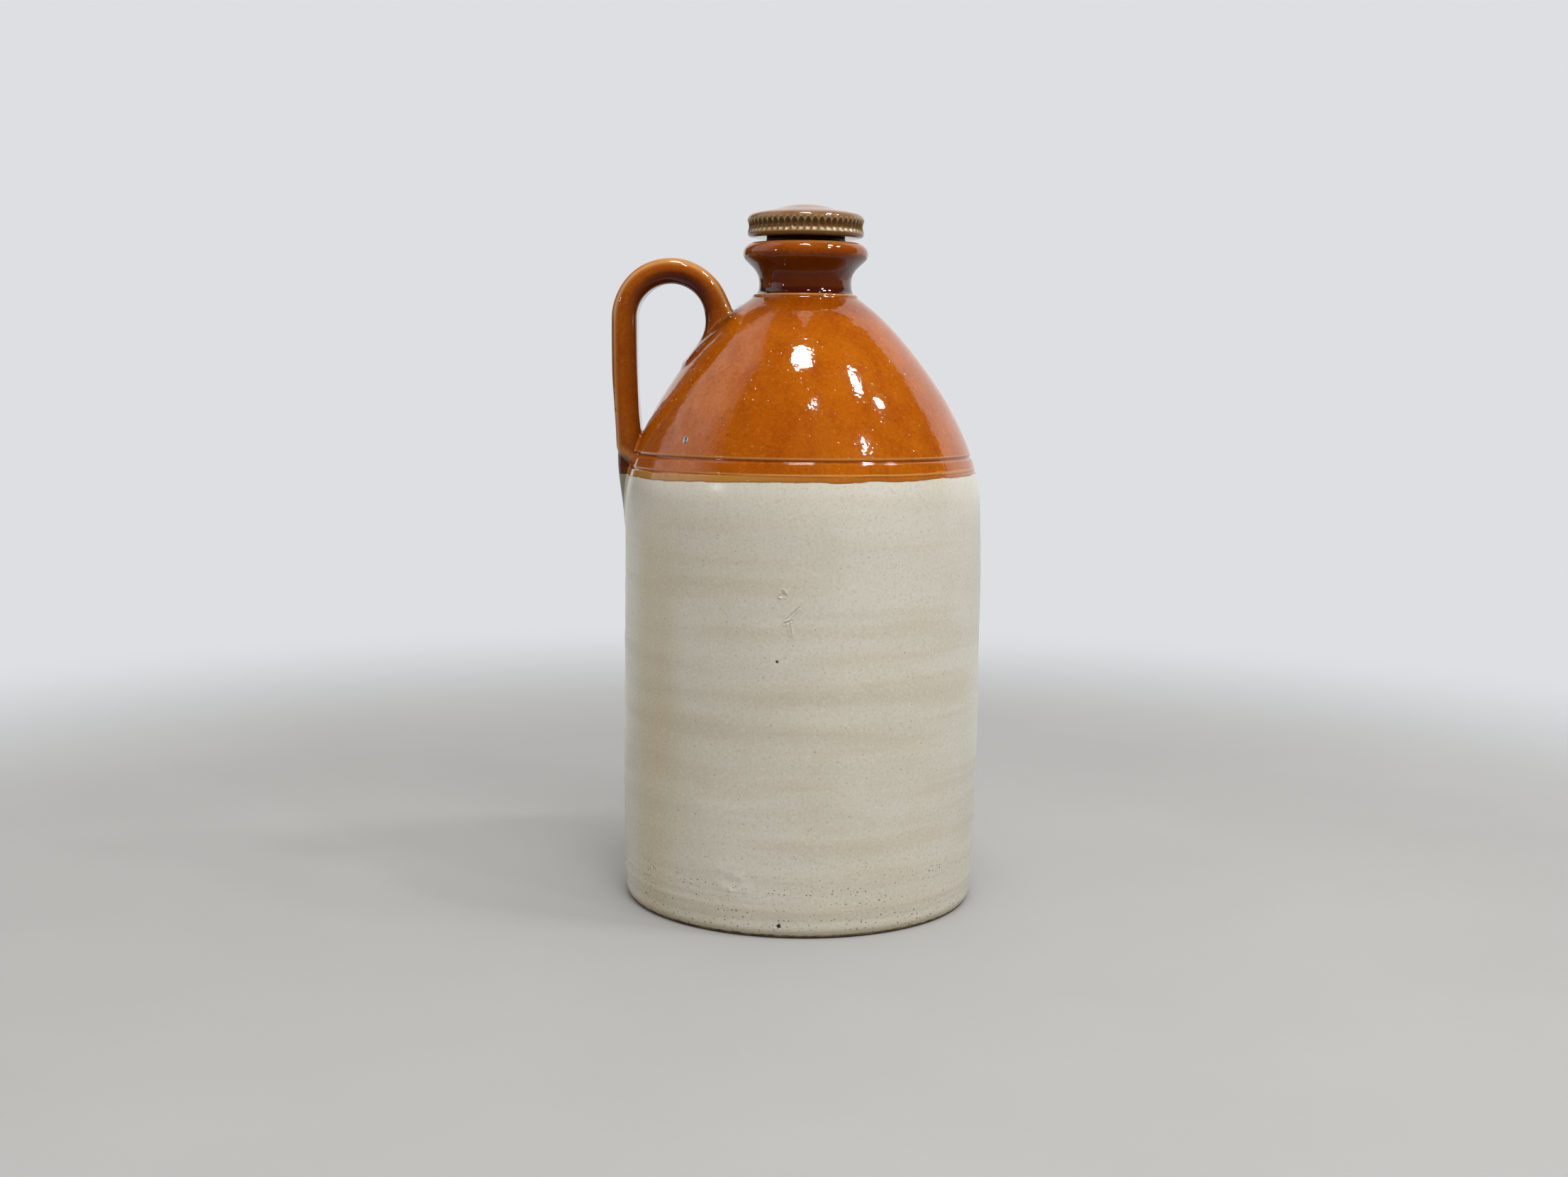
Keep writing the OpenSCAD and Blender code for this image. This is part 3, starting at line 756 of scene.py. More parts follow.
def make_flagon():
    """The thrown body with its strap handle, one fired piece."""
    body = poled_piece("flagon_body", body_rings())
    strap_rings, *notes = handle_rings()
    strap = capped_piece("strap", strap_rings)
    notes_at = strap_lookup(strap_rings.reshape(-1, 3), np.reshape(notes, (len(notes), -1)))
    trees = surface_tree(body), surface_tree(strap)
    unite(body, strap)
    for reach in (5.0, 2.0):
        points = point_array(body.data)
        keep = near_handle(points, 6)
        keep[keep] = off_joint(trees, points[keep]) < reach
        refine(body.data, keep)
    blend_joint(body.data, trees, notes_at)
    raise_pad(body.data, trees)
    cut_marks(body.data)
    body.data.shade_smooth()
    mark_glaze(body.data, trees, notes_at)
    return body


def glaze_marks(mesh):
    """How much glaze has pooled, with painted shade on the neck under the collar, and how thin it runs, at
    each point of the body.
    """
    _, r, z = turned_places(mesh)
    neck_z = LEDGE_Z + LEDGE_H
    lines = 0.62 * bump(z, LINE_Z - 0.1, 0.62) + 0.32 * bump(z, FINE_LINE_Z, 0.45)
    # Painted shade as well as pooled glaze: the neck darkens from near the mouth down to under the collar.
    neck = smooth(z, neck_z - 0.2, neck_z + 0.6) * (r < COLLAR_R + 1)
    neck = neck * (0.32 + 0.68 * smooth(z, MOUTH_Z - 1.6, MOUTH_Z - 9.5))
    base = bump(z, neck_z + 0.6, 1.5) * (r < LEDGE_R - 0.4)
    red = 0.35 * smooth(z, LEDGE_Z - 15, LEDGE_Z - 1) * smooth(z, neck_z, LEDGE_Z)
    pool_and_shade = np.clip(np.where(r > 60, lines, 0) + base + 0.85 * neck + red, 0, 1)
    thin = (bump(z, LINE_Z + 1.08, 0.26) + 0.7 * bump(z, FINE_LINE_Z + 0.66, 0.24)) * (r > 60)
    thin = thin + 0.5 * bump(z, LEDGE_Z + LEDGE_H * 0.75, 0.5) * (r > LEDGE_R - 0.8)
    thin = thin + 0.2 * smooth(z, MOUTH_Z - 2.2, MOUTH_Z - 0.5) * (r > BORE_R + 0.5)
    return pool_and_shade, np.clip(thin, 0, 1)


def mark_glaze(mesh, trees, notes_at):
    """Notes pooled glaze and painted shade, thin glaze and painted highlights, and where the glaze is
    chipped off, for the material.
    """
    pool_and_shade, thin = glaze_marks(mesh)
    points = point_array(mesh)
    near = np.flatnonzero(near_handle(points, 10))
    a, b = distances(trees, points[near])
    _, strap_thin_and_highlight, strap_pool_and_shade = notes_at(points[near])
    on_strap = smooth(a - b, 0, 1)
    high = smooth(points[near, 2], WALL_H + 40, WALL_H + 60)
    crease = 0.9 * bump(np.maximum(a, b), 0, 1.6) * high
    pad = 0.7 * bump(b, 2.8, 3.0) * (1 - on_strap) * high
    # The strap brings its painted highlight and painted shade on to the joined skin.
    thin[near] = thin[near] * (1 - on_strap) + 0.45 * strap_thin_and_highlight * on_strap
    pool_and_shade[near] = pool_and_shade[near] * (1 - on_strap) + strap_pool_and_shade * on_strap
    pool_and_shade[near] = np.clip(np.max([pool_and_shade[near], pad, crease], axis=0), 0, 1)
    edges, root = edge_ends(mesh), near[points[near, 2] > WALL_H + 30]
    for _ in range(8):
        pool_and_shade[root] = 0.4 * pool_and_shade[root] + 0.6 * neighbour_mean(edges, pool_and_shade[:, None])[root, 0]
    theta, r, z = turned_places(mesh)
    bare = [smooth(over(theta, z, angle, height), BARE_R[kind], BARE_R[kind] * 0.8) * (r > 70)
            for angle, height, _, kind in MARKS if kind in BARE_R]
    for name, values in (("pool_and_shade", pool_and_shade), ("thin", thin), ("chip", sum(bare))):
        set_attribute(mesh, name, np.clip(values, 0, 1))


def stopper_outline():
    """The stopper from the middle of its lower end, up the plug, out under the head and over the dome."""
    turn = np.linspace(0, pi / 2, 8)
    thread_top = PLUG_THREAD_Z + PITCH * PLUG_TURNS + RIDGE_W
    plug_z = np.concatenate([steps(44, PLUG_Z + PLUG_END_R, thread_top),
                             steps(5, thread_top, HEAD_Z - 0.4)])
    upper_z, lower_z = HEAD_Z + SIDE_H - 1.2, HEAD_Z + 2.2
    band_r = HEAD_R - BAND_IN * 1.3

    def dome(r, share):
        return [r, HEAD_Z + SIDE_H + DOME_H * share]

    return np.vstack([
        [[0, PLUG_Z], [6, PLUG_Z]],
        np.column_stack([PLUG_R - PLUG_END_R * (1 - np.sin(turn)),
                         PLUG_Z + PLUG_END_R * (1 - np.cos(turn))]),
        np.column_stack([np.full(len(plug_z), PLUG_R), plug_z]),
        [[PLUG_R + 0.15, HEAD_Z - 0.12], [PLUG_R + 0.6, HEAD_Z], [SEAL_R, HEAD_Z], [HEAD_R - 5, HEAD_Z]],
        cubic([HEAD_R - 2.6, HEAD_Z], [HEAD_R - 0.9, HEAD_Z + 0.1], [HEAD_R, HEAD_Z + 0.9],
              [HEAD_R, lower_z - 0.2], np.linspace(0, 1, 8)),
        cubic([HEAD_R, lower_z], [band_r, lower_z + 1.4], [band_r, upper_z - 1.4],
              [HEAD_R, upper_z], np.linspace(0, 1, 21)),
        cubic([HEAD_R, upper_z + 0.3], [HEAD_R - 0.1, HEAD_Z + SIDE_H + 0.1], dome(HEAD_R - 0.9, 0.16),
              dome(HEAD_R - 2.2, 0.24), np.linspace(0, 1, 8)),
        cubic(dome(HEAD_R - 2.2, 0.24), dome(HEAD_R * 0.80, 0.40), dome(HEAD_R * 0.66, 0.50),
              dome(HEAD_R * 0.56, 0.62), steps(8)),
        cubic(dome(HEAD_R * 0.56, 0.62), dome(HEAD_R * 0.40, 0.82), [HEAD_R * 0.20, TOP_Z],
              [0, TOP_Z], steps(10))])


def flute_depth(theta, z):
    """Depth of the finger flutes: scoops of a bowed round tool, softened by the glaze."""
    bow_r = ((FLUTE_H / 2) ** 2 + FLUTE_DEPTH ** 2) / (2 * FLUTE_DEPTH)
    middle = HEAD_Z + (SIDE_H + 1.0) / 2
    pitch = 2 * pi / FLUTES
    aside = ((theta / pitch + 0.5) % 1 - 0.5) * pitch * HEAD_R
    depth = FLUTE_DEPTH - aside ** 2 / (2 * FLUTE_R) - (z - middle) ** 2 / (2 * bow_r)
    return 0.5 * (depth + np.sqrt(depth ** 2 + FLUTE_SOFT ** 2))


def make_stopper():
    """The screw stopper, with how deep its flutes are, where its glaze runs thin and where painted
    highlights sit at the flutes' ends, for the material.
    """
    outline = stopper_outline()
    plug = (np.abs(outline[:, 0] - PLUG_R) < 0.01) & (outline[:, 1] < HEAD_Z - 0.3)
    band = (outline[:, 0] > HEAD_R - BAND_REACH) & (outline[:, 1] > HEAD_Z + 0.1)

    def move(theta, z, r):
        around = waves(31, theta, z, 8, 4, 20) * 0.04 * (r > 20)
        return (plug[:, None] * thread_relief(theta, z, PLUG_THREAD_Z, PLUG_TURNS)
                - band[:, None] * flute_depth(theta, z) + around)

    stopper = poled_piece("screw_stopper", lathe(outline, HEAD_ANGLES, move))
    theta, r, z = turned_places(stopper.data)
    hollow = flute_depth(theta, z) / FLUTE_DEPTH * (r > HEAD_R - BAND_REACH) * (z > HEAD_Z + 0.1)
    rims = 0.3 * bump(z, HEAD_Z + 2.2, 0.4) + 0.1 * bump(z, HEAD_Z + SIDE_H - 0.3, 0.5)
    # Painted highlight on the brow over each flute's upper end.
    painted_brow_highlight = bump(hollow, 0.16, 0.10) * smooth(z, HEAD_Z + 6, HEAD_Z + 7)
    # Each flute's lower end: thin glaze and a painted highlight where it faces up.
    thin_bead_and_highlight = 1.3 * smooth(hollow, 0.15, 0.5) * smooth(z, HEAD_Z + 3.9, HEAD_Z + 3.0)
    set_attribute(stopper.data, "pool_and_shade", np.clip(hollow, 0, 1))
    set_attribute(stopper.data, "thin", np.clip(rims * (r > HEAD_R - 2) * (1 - hollow) + painted_brow_highlight + thin_bead_and_highlight, 0, 1))
    return stopper


def make_seal():
    """The rubber ring, a little swollen where it is pressed between mouth and head."""
    low, high = seal_box[:, 2]
    round_h = (high - low) / 2
    round_r = round_h * 0.5
    inner_r = PLUG_R + SEAL_GAP
    turn = np.linspace(-pi / 2, pi / 2, 11)
    flat = np.linspace(inner_r, SEAL_R - round_r, 5)[:-1]
    outside = np.column_stack([SEAL_R - round_r + round_r * np.cos(turn),
                               (low + high) / 2 + round_h * np.sin(turn)])
    section = np.vstack([np.column_stack([flat, 0 * flat + low]), outside,
                         np.column_stack([flat[::-1], 0 * flat + high])])
    theta = np.linspace(0, 2 * pi, SEAL_ANGLES, endpoint=False)
    r, z = section[:, 0][:, None], section[:, 1][:, None]
    r = r * (1 + 0.0025 * np.sin(3 * theta + 1) * (r > inner_r + 1))
    rings = np.stack([r * np.cos(theta), r * np.sin(theta), np.broadcast_to(z, r.shape)], axis=-1)
    rows, columns = r.shape
    faces = ring_faces(rows + 1, columns) % (rows * columns)
    return make_piece("rubber_ring", rings.reshape(-1, 3), faces)


def tint(red, green, blue):
    """A colour as the shader wants it, from its everyday 0 to 255 values."""
    levels = [v / 255 for v in (red, green, blue)]
    return tuple(v / 12.92 if v <= 0.04045 else ((v + 0.055) / 1.055) ** 2.4 for v in levels) + (1.0,)


BACKGROUND = tint(221, 223, 226)


class Value:
    """What a shader node gives out, which adds, multiplies and so on as a number does."""

    def __init__(self, paint, socket):
        self.paint = paint
        self.socket = socket

    def __add__(self, other):
        return self.paint.math("ADD", self, other)

    def __sub__(self, other):
        return self.paint.math("SUBTRACT", self, other)

    def __rsub__(self, other):
        return self.paint.math("SUBTRACT", other, self)

    def __mul__(self, other):
        return self.paint.math("MULTIPLY", self, other)

    def __truediv__(self, other):
        return self.paint.math("DIVIDE", self, other)

    def __abs__(self):
        return self.paint.math("ABSOLUTE", self)

    def parts(self):
        """The X, Y and Z of a place."""
        split = self.paint.add("ShaderNodeSeparateXYZ", {0: self})
        return [Value(self.paint, socket) for socket in split.outputs]


class Paint:
    """Builds a tree of shader nodes out of short calls. Sizes are in millimetres."""

    def __init__(self, tree, coordinate="Object"):
        self.tree = tree
        self.place = self.get("ShaderNodeTexCoord", coordinate)

    def join(self, value, socket):
        """Gives a socket a number, a colour or what another node gives out."""
        if isinstance(value, Value):
            self.tree.links.new(value.socket, socket)
        else:
            socket.default_value = value

    def add(self, kind, inputs=None, **settings):
        """A new node."""
        node = self.tree.nodes.new(kind)
        for name, value in settings.items():
            setattr(node, name, value)
        for name, value in (inputs or {}).items():
            self.join(value, node.inputs[name])
        return node

    def get(self, kind, output, inputs=None, **settings):
        """What a new node gives out."""
        return Value(self, self.add(kind, inputs, **settings).outputs[output])

    def math(self, operation, *values):
        return self.get("ShaderNodeMath", 0, dict(enumerate(values)), operation=operation)

    def most(self, first, *others):
        """The largest of the values."""
        for other in others:
            first = self.math("MAXIMUM", first, other)
        return first

    def at_most_one(self, value):
        return self.math("MINIMUM", value, 1.0)

    def ramp(self, value, low, high):
        """0 at low and 1 at high, with a smooth step between, rising or falling."""
        inputs = {"Value": value, "From Min": low, "From Max": high}
        return self.get("ShaderNodeMapRange", 0, inputs, interpolation_type="SMOOTHSTEP")

    def blend(self, share, first, second):
        """A number that passes from the first to the second."""
        return self.get("ShaderNodeMix", 0, {0: share, 2: first, 3: second})

    def mix(self, share, first, second):
        """A colour that passes from the first to the second."""
        return self.get("ShaderNodeMix", 2, {0: share, 6: first, 7: second}, data_type="RGBA")

    def coats(self, colour, *coats):
        """The colour under coats of others, each given as its share and its 0 to 255 values."""
        for share, *levels in coats:
            colour = self.mix(share, colour, tint(*levels))
        return colour

    def scale(self, colour, factor):
        return self.get("ShaderNodeVectorMath", 0, {0: colour, "Scale": factor}, operation="SCALE")

    def azimuth(self):
        """Angle in radians from the photograph's side towards +X."""
        x, y, _ = self.place.parts()
        return self.math("ARCTAN2", x, y * -1.0)

    def scaled(self, size, stretch=(1, 1, 1), shift=0.0):
        """Places in steps of that size, each shift in a part of the pattern that looks different."""
        inputs = {"Vector": self.place, "Location": (shift, shift * 0.7, shift * 1.3),
                  "Scale": tuple(k / (size * MM) for k in stretch)}
        return self.get("ShaderNodeMapping", 0, inputs)

    def noise(self, size, detail=2.0, rough=0.5, stretch=(1, 1, 1), shift=0.0):
        """Soft random clouds of about that size."""
        inputs = {"Vector": self.scaled(size, stretch, shift), "Scale": 1.0, "Detail": detail,
                  "Roughness": rough}
        return self.get("ShaderNodeTexNoise", 0, inputs)

    def unrolled(self, size, shift):
        """Places on the turned wall laid out flat, in steps of that size round it and up it."""
        around = self.azimuth() * (BODY_R / size) + shift
        up = self.place.parts()[2] * (1 / (size * MM))
        return self.get("ShaderNodeCombineXYZ", 0, {0: around, 1: up})

    def dots(self, size, radius, share, shift=0.0, flat=False, soft=0.35):
        """Round specks of up to that radius in a share of the cells of that size."""
        place = self.unrolled(size, shift) if flat else self.scaled(size, shift=shift)
        cells = self.add("ShaderNodeTexVoronoi", {"Vector": place, "Scale": 1.0},
                         voronoi_dimensions="2D" if flat else "3D")
        distance, colour = (Value(self, cells.outputs[name]) for name in ("Distance", "Color"))
        chance, spread, _ = colour.parts()
        inside = 1.0 - distance / ((spread * 0.7 + 0.3) * (radius / size))
        return self.ramp(inside, 0.0, soft) * self.math("LESS_THAN", chance, share)

    def noted(self, name):
        """The number of that name that was noted at each point of the mesh."""
        return self.get("ShaderNodeAttribute", "Fac", attribute_name=name)

    def rays(self, *kinds):
        """For each kind of light ray, 1 on a ray of that kind."""
        path = self.add("ShaderNodeLightPath")
        return [Value(self, path.outputs[kind]) for kind in kinds]


def new_material(name, **constants):
    """A material, its paint and its shader, with the sockets that are the same all over set by name."""
    material = bpy.data.materials.new(name)
    material.use_nodes = True
    shader = material.node_tree.nodes["Principled BSDF"]
    for socket, value in constants.items():
        shader.inputs[socket].default_value = value
    return material, Paint(material.node_tree), shader


def finish_material(paint, shader, colour, roughness, height):
    """Joins colour, roughness and relief in millimetres to the shader."""
    relief = paint.get("ShaderNodeBump", 0, {"Height": height, "Distance": MM, "Strength": 1.0})
    for socket, value in (("Base Color", colour), ("Roughness", roughness), ("Normal", relief)):
        paint.join(value, shader.inputs[socket])


def amber_colour(paint, x, above, on_shoulder):
    """Iron-brown glaze: clouds and runs of gold and red, a fine mottle, dark specks and an ochre edge."""
    clouds = paint.ramp(paint.noise(34, 3, 0.55), 0.40, 0.62)
    runs = paint.ramp(paint.noise(10, 3, 0.6, (1, 1, 0.4), 3.0), 0.44, 0.68)
    mottle = paint.noise(1.7, 4, 0.75, shift=5.0)
    grain = paint.noise(0.45, 2, 0.7, shift=6.0)
    specks = paint.most(paint.dots(3.4, 0.30, 0.34, 2.3, flat=True) * on_shoulder * 0.5,
                        paint.dots(5.6, 0.40, 0.40, 4.3, flat=True) * on_shoulder * 0.75,
                        paint.dots(3.6, 0.4, 0.4) * 0.6)
    ochre = paint.ramp(above + paint.noise(5, 2, 0.6, shift=8.0) * 1.6, 4.4, 3.2)
    more_at_left = paint.ramp(x, 25, -35) * 0.65 + 0.2
    return paint.coats(
        paint.mix(clouds, tint(165, 80, 2), tint(177, 91, 4)),
        (runs * 0.50, 150, 62, 5),
        (paint.ramp(mottle, 0.50, 0.70) * 0.40, 130, 52, 4),
        (paint.ramp(mottle, 0.48, 0.28) * 0.40, 212, 124, 20),
        (paint.ramp(grain, 0.50, 0.70) * 0.26, 124, 46, 4),
        (paint.ramp(grain, 0.48, 0.28) * 0.24, 224, 138, 34),
        (specks, 60, 24, 10),
        (ochre * more_at_left, 178, 128, 60),
        (paint.ramp(abs(above - 3.0), 0.5, 0.1) * 0.5, 206, 146, 60),
        (paint.ramp(above, 0.9, 0.2) * 0.5, 120, 66, 14),
        # The pool notes darken pooled glaze and painted shade (the neck under the collar, the strap's inner
        # side and tail); the thin notes lighten thin glaze and the arch's painted highlight.
        (paint.noted("pool_and_shade"), 66, 18, 5),
        (paint.noted("thin") * 0.85, 232, 178, 104))


def pale_colour(paint, z, pits, near_foot):
    """Grey-cream glaze, warmer in long soft bands, with painted warm light at the left, painted shade on
    the strap's tail, and iron specks and brown pits.
    """
    bands = paint.ramp(paint.noise(30, 2, 0.5, (0.22, 0.22, 3.0), 1.0), 0.44, 0.66)
    clouds = paint.ramp(paint.noise(60, 3, 0.5, shift=7.0), 0.38, 0.66)
    mottle = paint.noise(1.3, 3, 0.65, shift=4.0)
    # Painted warm light from the left, as from a warm bounce.
    off = abs(paint.azimuth() * DEGREES + PAINTED_WARM_LIGHT_AT) / PAINTED_WARM_LIGHT_REACH
    painted_warm_light = paint.ramp(off, 1.0, 0.1) * (paint.noise(26, 2, 0.5, (1, 1, 0.5), 3.0) + 0.25)
    return paint.coats(
        paint.mix(clouds, tint(201, 195, 179), tint(208, 203, 189)),
        (bands * 0.34, 188, 176, 152),
        # Painted warm light, fading out towards the dip.
        (painted_warm_light * paint.ramp(z, 206, 170) * 0.85, 193, 176, 141),
        (paint.ramp(z, 165, 205) * 0.45, 218, 213, 200),
        (paint.ramp(mottle, 0.5, 0.72) * 0.5, 184, 174, 152),
        (paint.ramp(mottle, 0.48, 0.27) * 0.42, 222, 218, 206),
        (pits * paint.blend(near_foot, 0.40, 0.95), 78, 60, 38),
        (paint.dots(11, 0.42, 0.5, 3.7, flat=True) * 0.6, 104, 80, 52),
        # Painted shade on the strap's tail, below the dip.
        (paint.noted("pool_and_shade") * 0.9, 116, 106, 83),
        (paint.ramp(z, 5.5, 2.5) * 0.5, 160, 138, 100))


def bare_clay(paint, z):
    """Brown clay, with a painted contact shadow that makes it nearly black right under the foot."""
    stains = paint.ramp(paint.noise(5, 4, 0.6), 0.35, 0.7)
    clay = paint.mix(stains, tint(128, 104, 72), tint(72, 52, 34))
    # Painted contact shadow in the last millimetre above the floor.
    return paint.coats(clay, (paint.ramp(z, 1.0, 0.3), 34, 26, 18))


def chip_colour(paint, dark):
    """Grey fired clay in the amber's chip, and brown in the holes of the pale glaze."""
    stains = paint.ramp(paint.noise(1.6, 2, 0.6, shift=19.0), 0.50, 0.60)
    return paint.mix(dark, tint(40, 34, 28), paint.mix(stains, tint(168, 176, 182), tint(60, 60, 64)))


def glaze_height(paint, dark, pits, on_shoulder):
    """The glaze's skin in millimetres: orange peel, pimples on the amber, and the pits."""
    skin = paint.noise(4.5, 2, 0.5, shift=17.0) * paint.blend(dark, 0.06, 0.13)
    fine = paint.noise(1.1, 2, 0.5, shift=18.0) * paint.blend(dark, 0.022, 0.006)
    pimples = (paint.dots(1.9, 0.6, 0.25, 22.0, soft=1.0) * 0.3
               + paint.dots(4.6, 0.75, 0.36, 23.7, flat=True, soft=1.0) * on_shoulder)
    deep = pits * (1.0 - dark) * -PIT_DEPTH
    return skin + (fine + pimples * dark * PIMPLE_H) + (dark * AMBER_STEP + deep)


def flagon_material():
    """Amber glaze dipped over the shoulder, pale glaze below it, and bare clay under the foot."""
    material, paint, shader = new_material("stoneware_glazes", IOR=GLAZE_IOR)
    x, y, z = (part * (1 / MM) for part in paint.place.parts())
    edge = x * DIP_LEAN + (GLAZE_H + 0.2) + (paint.noise(24, 3, 0.6, shift=2.0) - 0.5) * DIP_SWAY
    above = z - edge
    dark = paint.ramp(above, -0.22, 0.22)
    clear_of_strap = paint.most(paint.ramp(abs(y), 13, 16), paint.ramp(x, -45, -36))
    on_shoulder = paint.ramp(z, 272, 256) * clear_of_strap

    clusters = paint.ramp(paint.noise(14, 2, 0.6, shift=21.0), 0.36, 0.54)
    rows = paint.ramp(paint.noise(9, 2, 0.6, (0.25, 0.25, 2.2), 21.0), 0.40, 0.62)
    near_foot = paint.at_most_one(paint.ramp(z, 50, 4) * clusters * (rows * 1.7 + 0.4))
    pits = paint.at_most_one(paint.dots(2.4, 0.56, 0.72, 11.3, flat=True, soft=0.8) * near_foot
                             + paint.dots(5.2, 0.34, 0.45, 13.1, flat=True) * 0.8)
    ragged = z + paint.noise(4, 3, 0.6, shift=12.0) * -1.6
    bare = paint.ramp(ragged, 1.3, 0.5)

    pale = paint.mix(bare, pale_colour(paint, z, pits, near_foot), bare_clay(paint, z))
    colour = paint.mix(dark, pale, amber_colour(paint, x, above, on_shoulder))
    chip = paint.noted("chip")
    colour = paint.mix(chip, colour, chip_colour(paint, dark))
    satin = paint.blend(bare, paint.noise(14, 3, 0.6, shift=15.0) * 0.14 + 0.17, 0.8)
    gloss = paint.noise(10, 2, 0.5, shift=16.0) * 0.05 + 0.025
    roughness = paint.blend(chip, paint.blend(dark, satin, gloss), 0.6)
    finish_material(paint, shader, colour, roughness, glaze_height(paint, dark, pits, on_shoulder))
    return material


def stopper_material():
    """Olive-brown glaze, dark in the flutes with painted shade in their upper half, golden where it runs
    thin over the rims, and lighter at the flutes' ends with thin glaze and painted highlights.
    """
    material, paint, shader = new_material("stopper_glaze", IOR=GLAZE_IOR)
    z = paint.place.parts()[2] * (1 / MM)
    clouds = paint.ramp(paint.noise(9, 3, 0.6), 0.40, 0.68)
    mottle = paint.ramp(paint.noise(1.1, 3, 0.65, shift=3.0), 0.5, 0.75)
    olive = paint.mix(clouds, tint(112, 80, 32), tint(114, 70, 26))
    dome = paint.ramp(z, HEAD_Z + SIDE_H - 0.6, HEAD_Z + SIDE_H + 0.8)
    dome_colour = paint.mix(clouds, tint(138, 84, 48), tint(120, 66, 36))
    # Painted shade in the upper half of each flute, where it faces down.
    painted_recess_shade = paint.blend(paint.ramp(z, HEAD_Z + 4.2, HEAD_Z + 7.2), 0.35, 1.0)
    colour = paint.coats(
        paint.mix(dome, paint.coats(olive, (mottle * 0.4, 92, 62, 30)), dome_colour),
        (paint.ramp(z, HEAD_Z + 1.6, HEAD_Z - 0.2), 104, 74, 34),
        (paint.noted("pool_and_shade") * painted_recess_shade, 52, 33, 10),
        # Thin glaze on the rims, with painted highlights at the flutes' ends.
        (paint.noted("thin") * 0.85, 204, 176, 128),
        (paint.dots(2.2, 0.3, 0.2) * 0.7, 46, 26, 12))
    roughness = paint.noise(4, 2, 0.5) * 0.08 + 0.06
    height = paint.noise(2.6, 2, 0.5) * 0.025 + paint.noise(0.9, 2, 0.5) * 0.003
    finish_material(paint, shader, colour, roughness, height)
    return material


def rubber_material():
    """Old black rubber with a dull bloom."""
    material, paint, shader = new_material("black_rubber")
    bloom = paint.ramp(paint.noise(3, 3, 0.6), 0.45, 0.8)
    colour = paint.mix(bloom * 0.5, tint(24, 23, 22), tint(52, 49, 45))
    finish_material(paint, shader, colour, bloom * 0.2 + 0.5, paint.noise(0.8, 3, 0.6) * 0.02)
    return material


def make_floor():
    """A plain pale floor that passes into the background further off."""
    turn = np.linspace(0, 2 * pi, 64, endpoint=False)
    rim = np.column_stack([FLOOR_R * np.cos(turn), FLOOR_R * np.sin(turn), 0 * turn])
    floor = make_piece("floor", rim, [range(len(rim))])
    material, paint, shader = new_material("floor_matt", Roughness=0.85)
    colour = paint.mix(paint.noise(180, 4, 0.55), tint(167, 166, 164), tint(177, 176, 174))
    paint.join(colour, shader.inputs["Base Color"])
    camera_ray, *mirror_rays = paint.rays("Is Camera Ray", "Is Glossy Ray", "Is Transmission Ray")
    behind = paint.ramp(paint.place.parts()[1], -0.3, 0.5)
    mirrored = paint.mix(behind, (0.13, 0.125, 0.12, 1), (0.66, 0.67, 0.68, 1))
    far = paint.mix(camera_ray, mirrored, BACKGROUND)
    away = paint.get("ShaderNodeVectorMath", "Value", {0: paint.place}, operation="LENGTH")
    share = paint.ramp(away, paint.blend(camera_ray, *FADE_FROM), paint.blend(camera_ray, *FADE_TO))
    share = share * paint.most(camera_ray, *mirror_rays)
    plain = paint.get("ShaderNodeEmission", 0, {"Color": far, "Strength": 1.0})
    both = paint.get("ShaderNodeMixShader", 0, {0: share, 1: Value(paint, shader.outputs[0]), 2: plain})
    paint.join(both, paint.tree.nodes["Material Output"].inputs["Surface"])
    floor.data.materials.append(material)


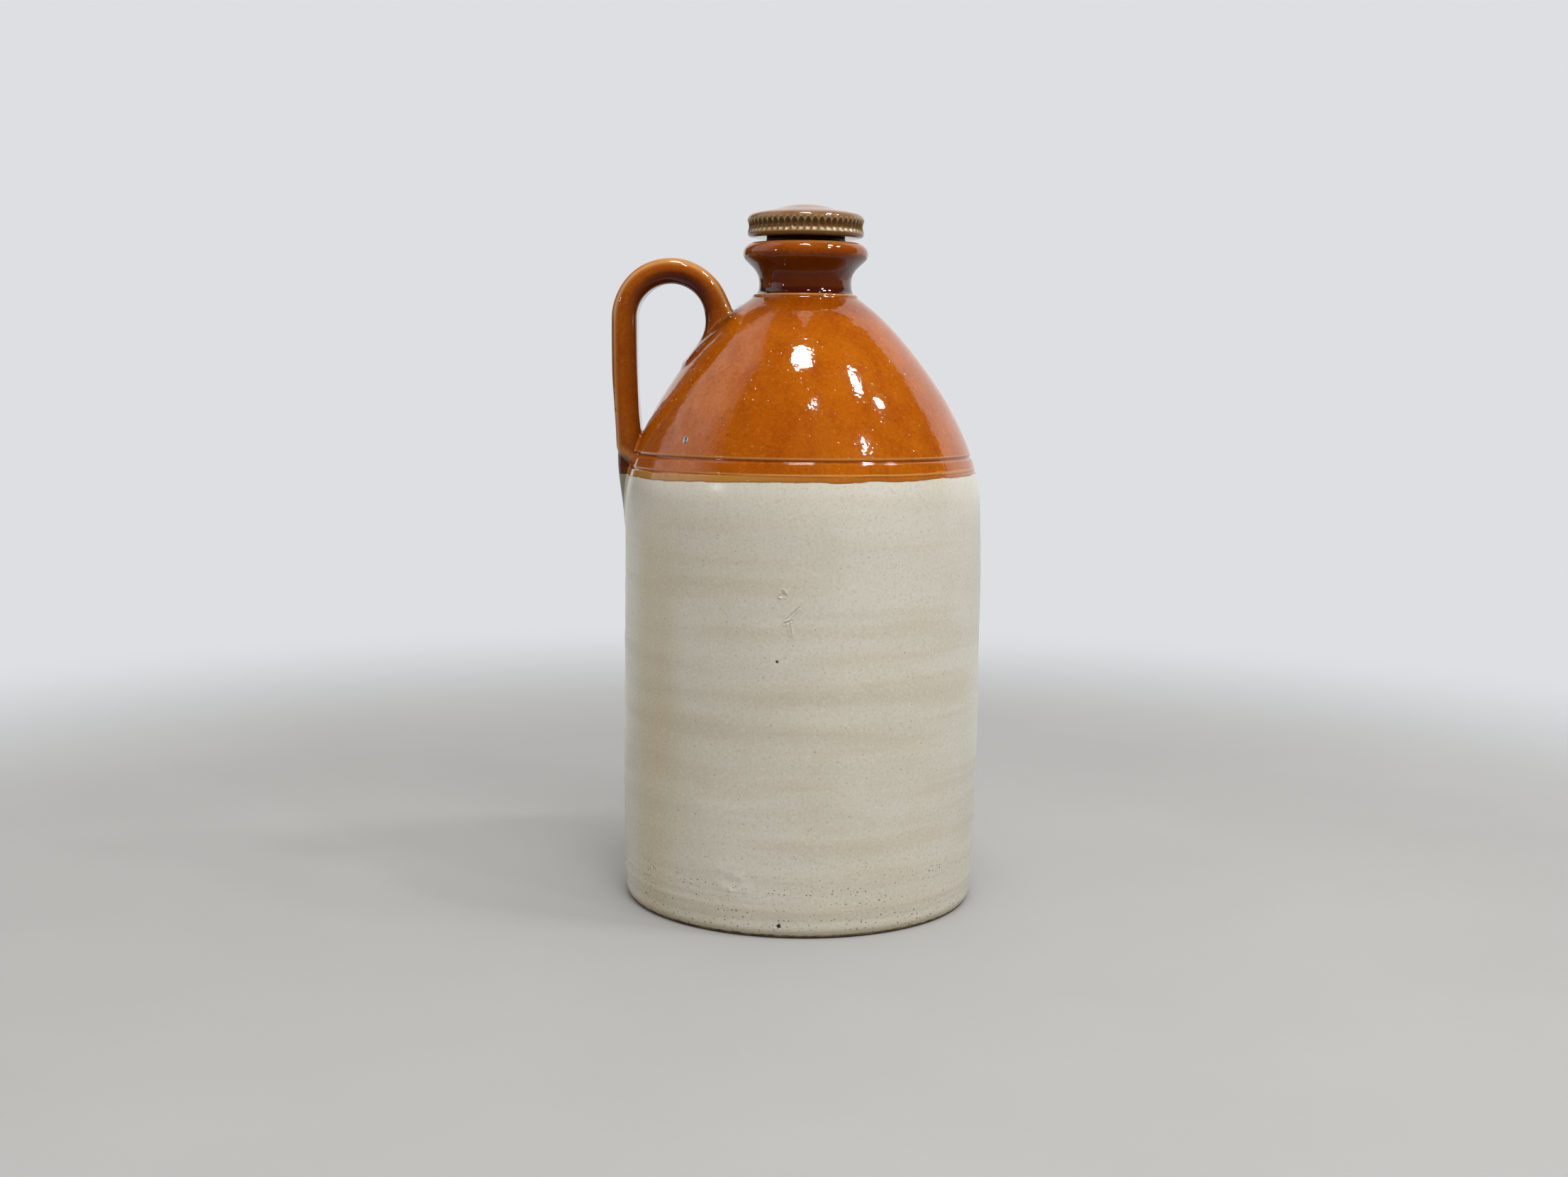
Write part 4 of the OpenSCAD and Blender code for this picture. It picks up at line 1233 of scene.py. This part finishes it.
def make_world():
    """A soft room: pale walls behind and at the sides, which the glaze mirrors, and a dark front."""
    world = bpy.data.worlds.new("room")
    bpy.context.scene.world = world
    world.use_nodes = True
    paint = Paint(world.node_tree, "Generated")
    x, y, up = paint.place.parts()
    azimuth = paint.azimuth() * DEGREES
    lift = paint.math("ARCSINE", up) * DEGREES

    right = (paint.ramp(azimuth - lift * 0.5, 102.8, 105.2)
             * paint.blend(paint.ramp(azimuth, 118, 160), 1.0, 0.95))
    leaning = azimuth + lift * 0.3
    blotches = paint.noise(110, 3, 0.6, shift=5.0) * 1.35 + 0.12
    left = (paint.ramp(leaning, -118, -114) * paint.ramp(leaning, -48, -76)
            * (paint.ramp(lift, -1, 7) * paint.ramp(lift, 70, 62)) * blotches)
    behind = paint.ramp(abs(azimuth), 146, 150) * 0.95
    mirrored = paint.scale((1, 1.02, 1.04), paint.most(right, left, behind, 0.055))
    lit = paint.mix(paint.ramp(x, -0.8, 0.6), (0.42, 0.41, 0.39, 1), (0.60, 0.60, 0.59, 1))
    lit = paint.mix(paint.ramp(y, -0.3, 0.8), lit, (0.70, 0.70, 0.70, 1))
    lit = paint.scale(lit, up * 0.55 + 0.86)
    camera_ray, glossy_ray = paint.rays("Is Camera Ray", "Is Glossy Ray")
    colour = paint.mix(camera_ray, paint.mix(glossy_ray, lit, mirrored), BACKGROUND)
    paint.join(colour, world.node_tree.nodes["Background"].inputs["Color"])


def make_lamp(azimuth, lift, width, height, brightness, distance=LAMP_AWAY):
    """An oval lamp at an angle from the camera's side and a height, both in degrees, as is its size."""
    a, e = radians(azimuth), radians(lift)
    way = Vector((np.sin(a) * np.cos(e), -np.cos(a) * np.cos(e), np.sin(e)))
    data = bpy.data.lights.new("lamp", "AREA")
    data.shape = "ELLIPSE"
    data.size, data.size_y = (2 * distance * np.tan(radians(k / 2)) for k in (width, height))
    data.energy = brightness * pi * pi * data.size * data.size_y / 4
    lamp = bpy.data.objects.new("lamp", data)
    lamp.location = Vector((0, 0, LAMPS_AIM_Z)) + distance * way
    lamp.rotation_euler = way.to_track_quat("Z", "Y").to_euler()
    bpy.context.scene.collection.objects.link(lamp)
    return lamp


def make_lamps():
    """Each bulb is small and fierce in the glaze, and lights the rest as softly as through a shade."""
    for *place, brightness in LAMPS:
        make_lamp(*place, brightness).visible_glossy = False
        make_lamp(*place, brightness * GLINT, MIRRORED_LAMP_AWAY).visible_diffuse = False
    make_lamp(*KEY).visible_glossy = False


make_camera()
flagon = make_flagon()
stopper = make_stopper()
seal = make_seal()
for piece, node, body, slot, material in (
        (flagon, "flagon", "flagon", "body_glaze", flagon_material()),
        (stopper, "stopper", "stopper", "stopper_glaze", stopper_material()),
        (seal, "stopper_seal", "ring", "seal_rubber", rubber_material())):
    piece.data.materials.append(material)
    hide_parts(node)
    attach(piece, body)
make_floor()
make_world()
make_lamps()
bpy.context.scene.view_settings.view_transform = "Standard"
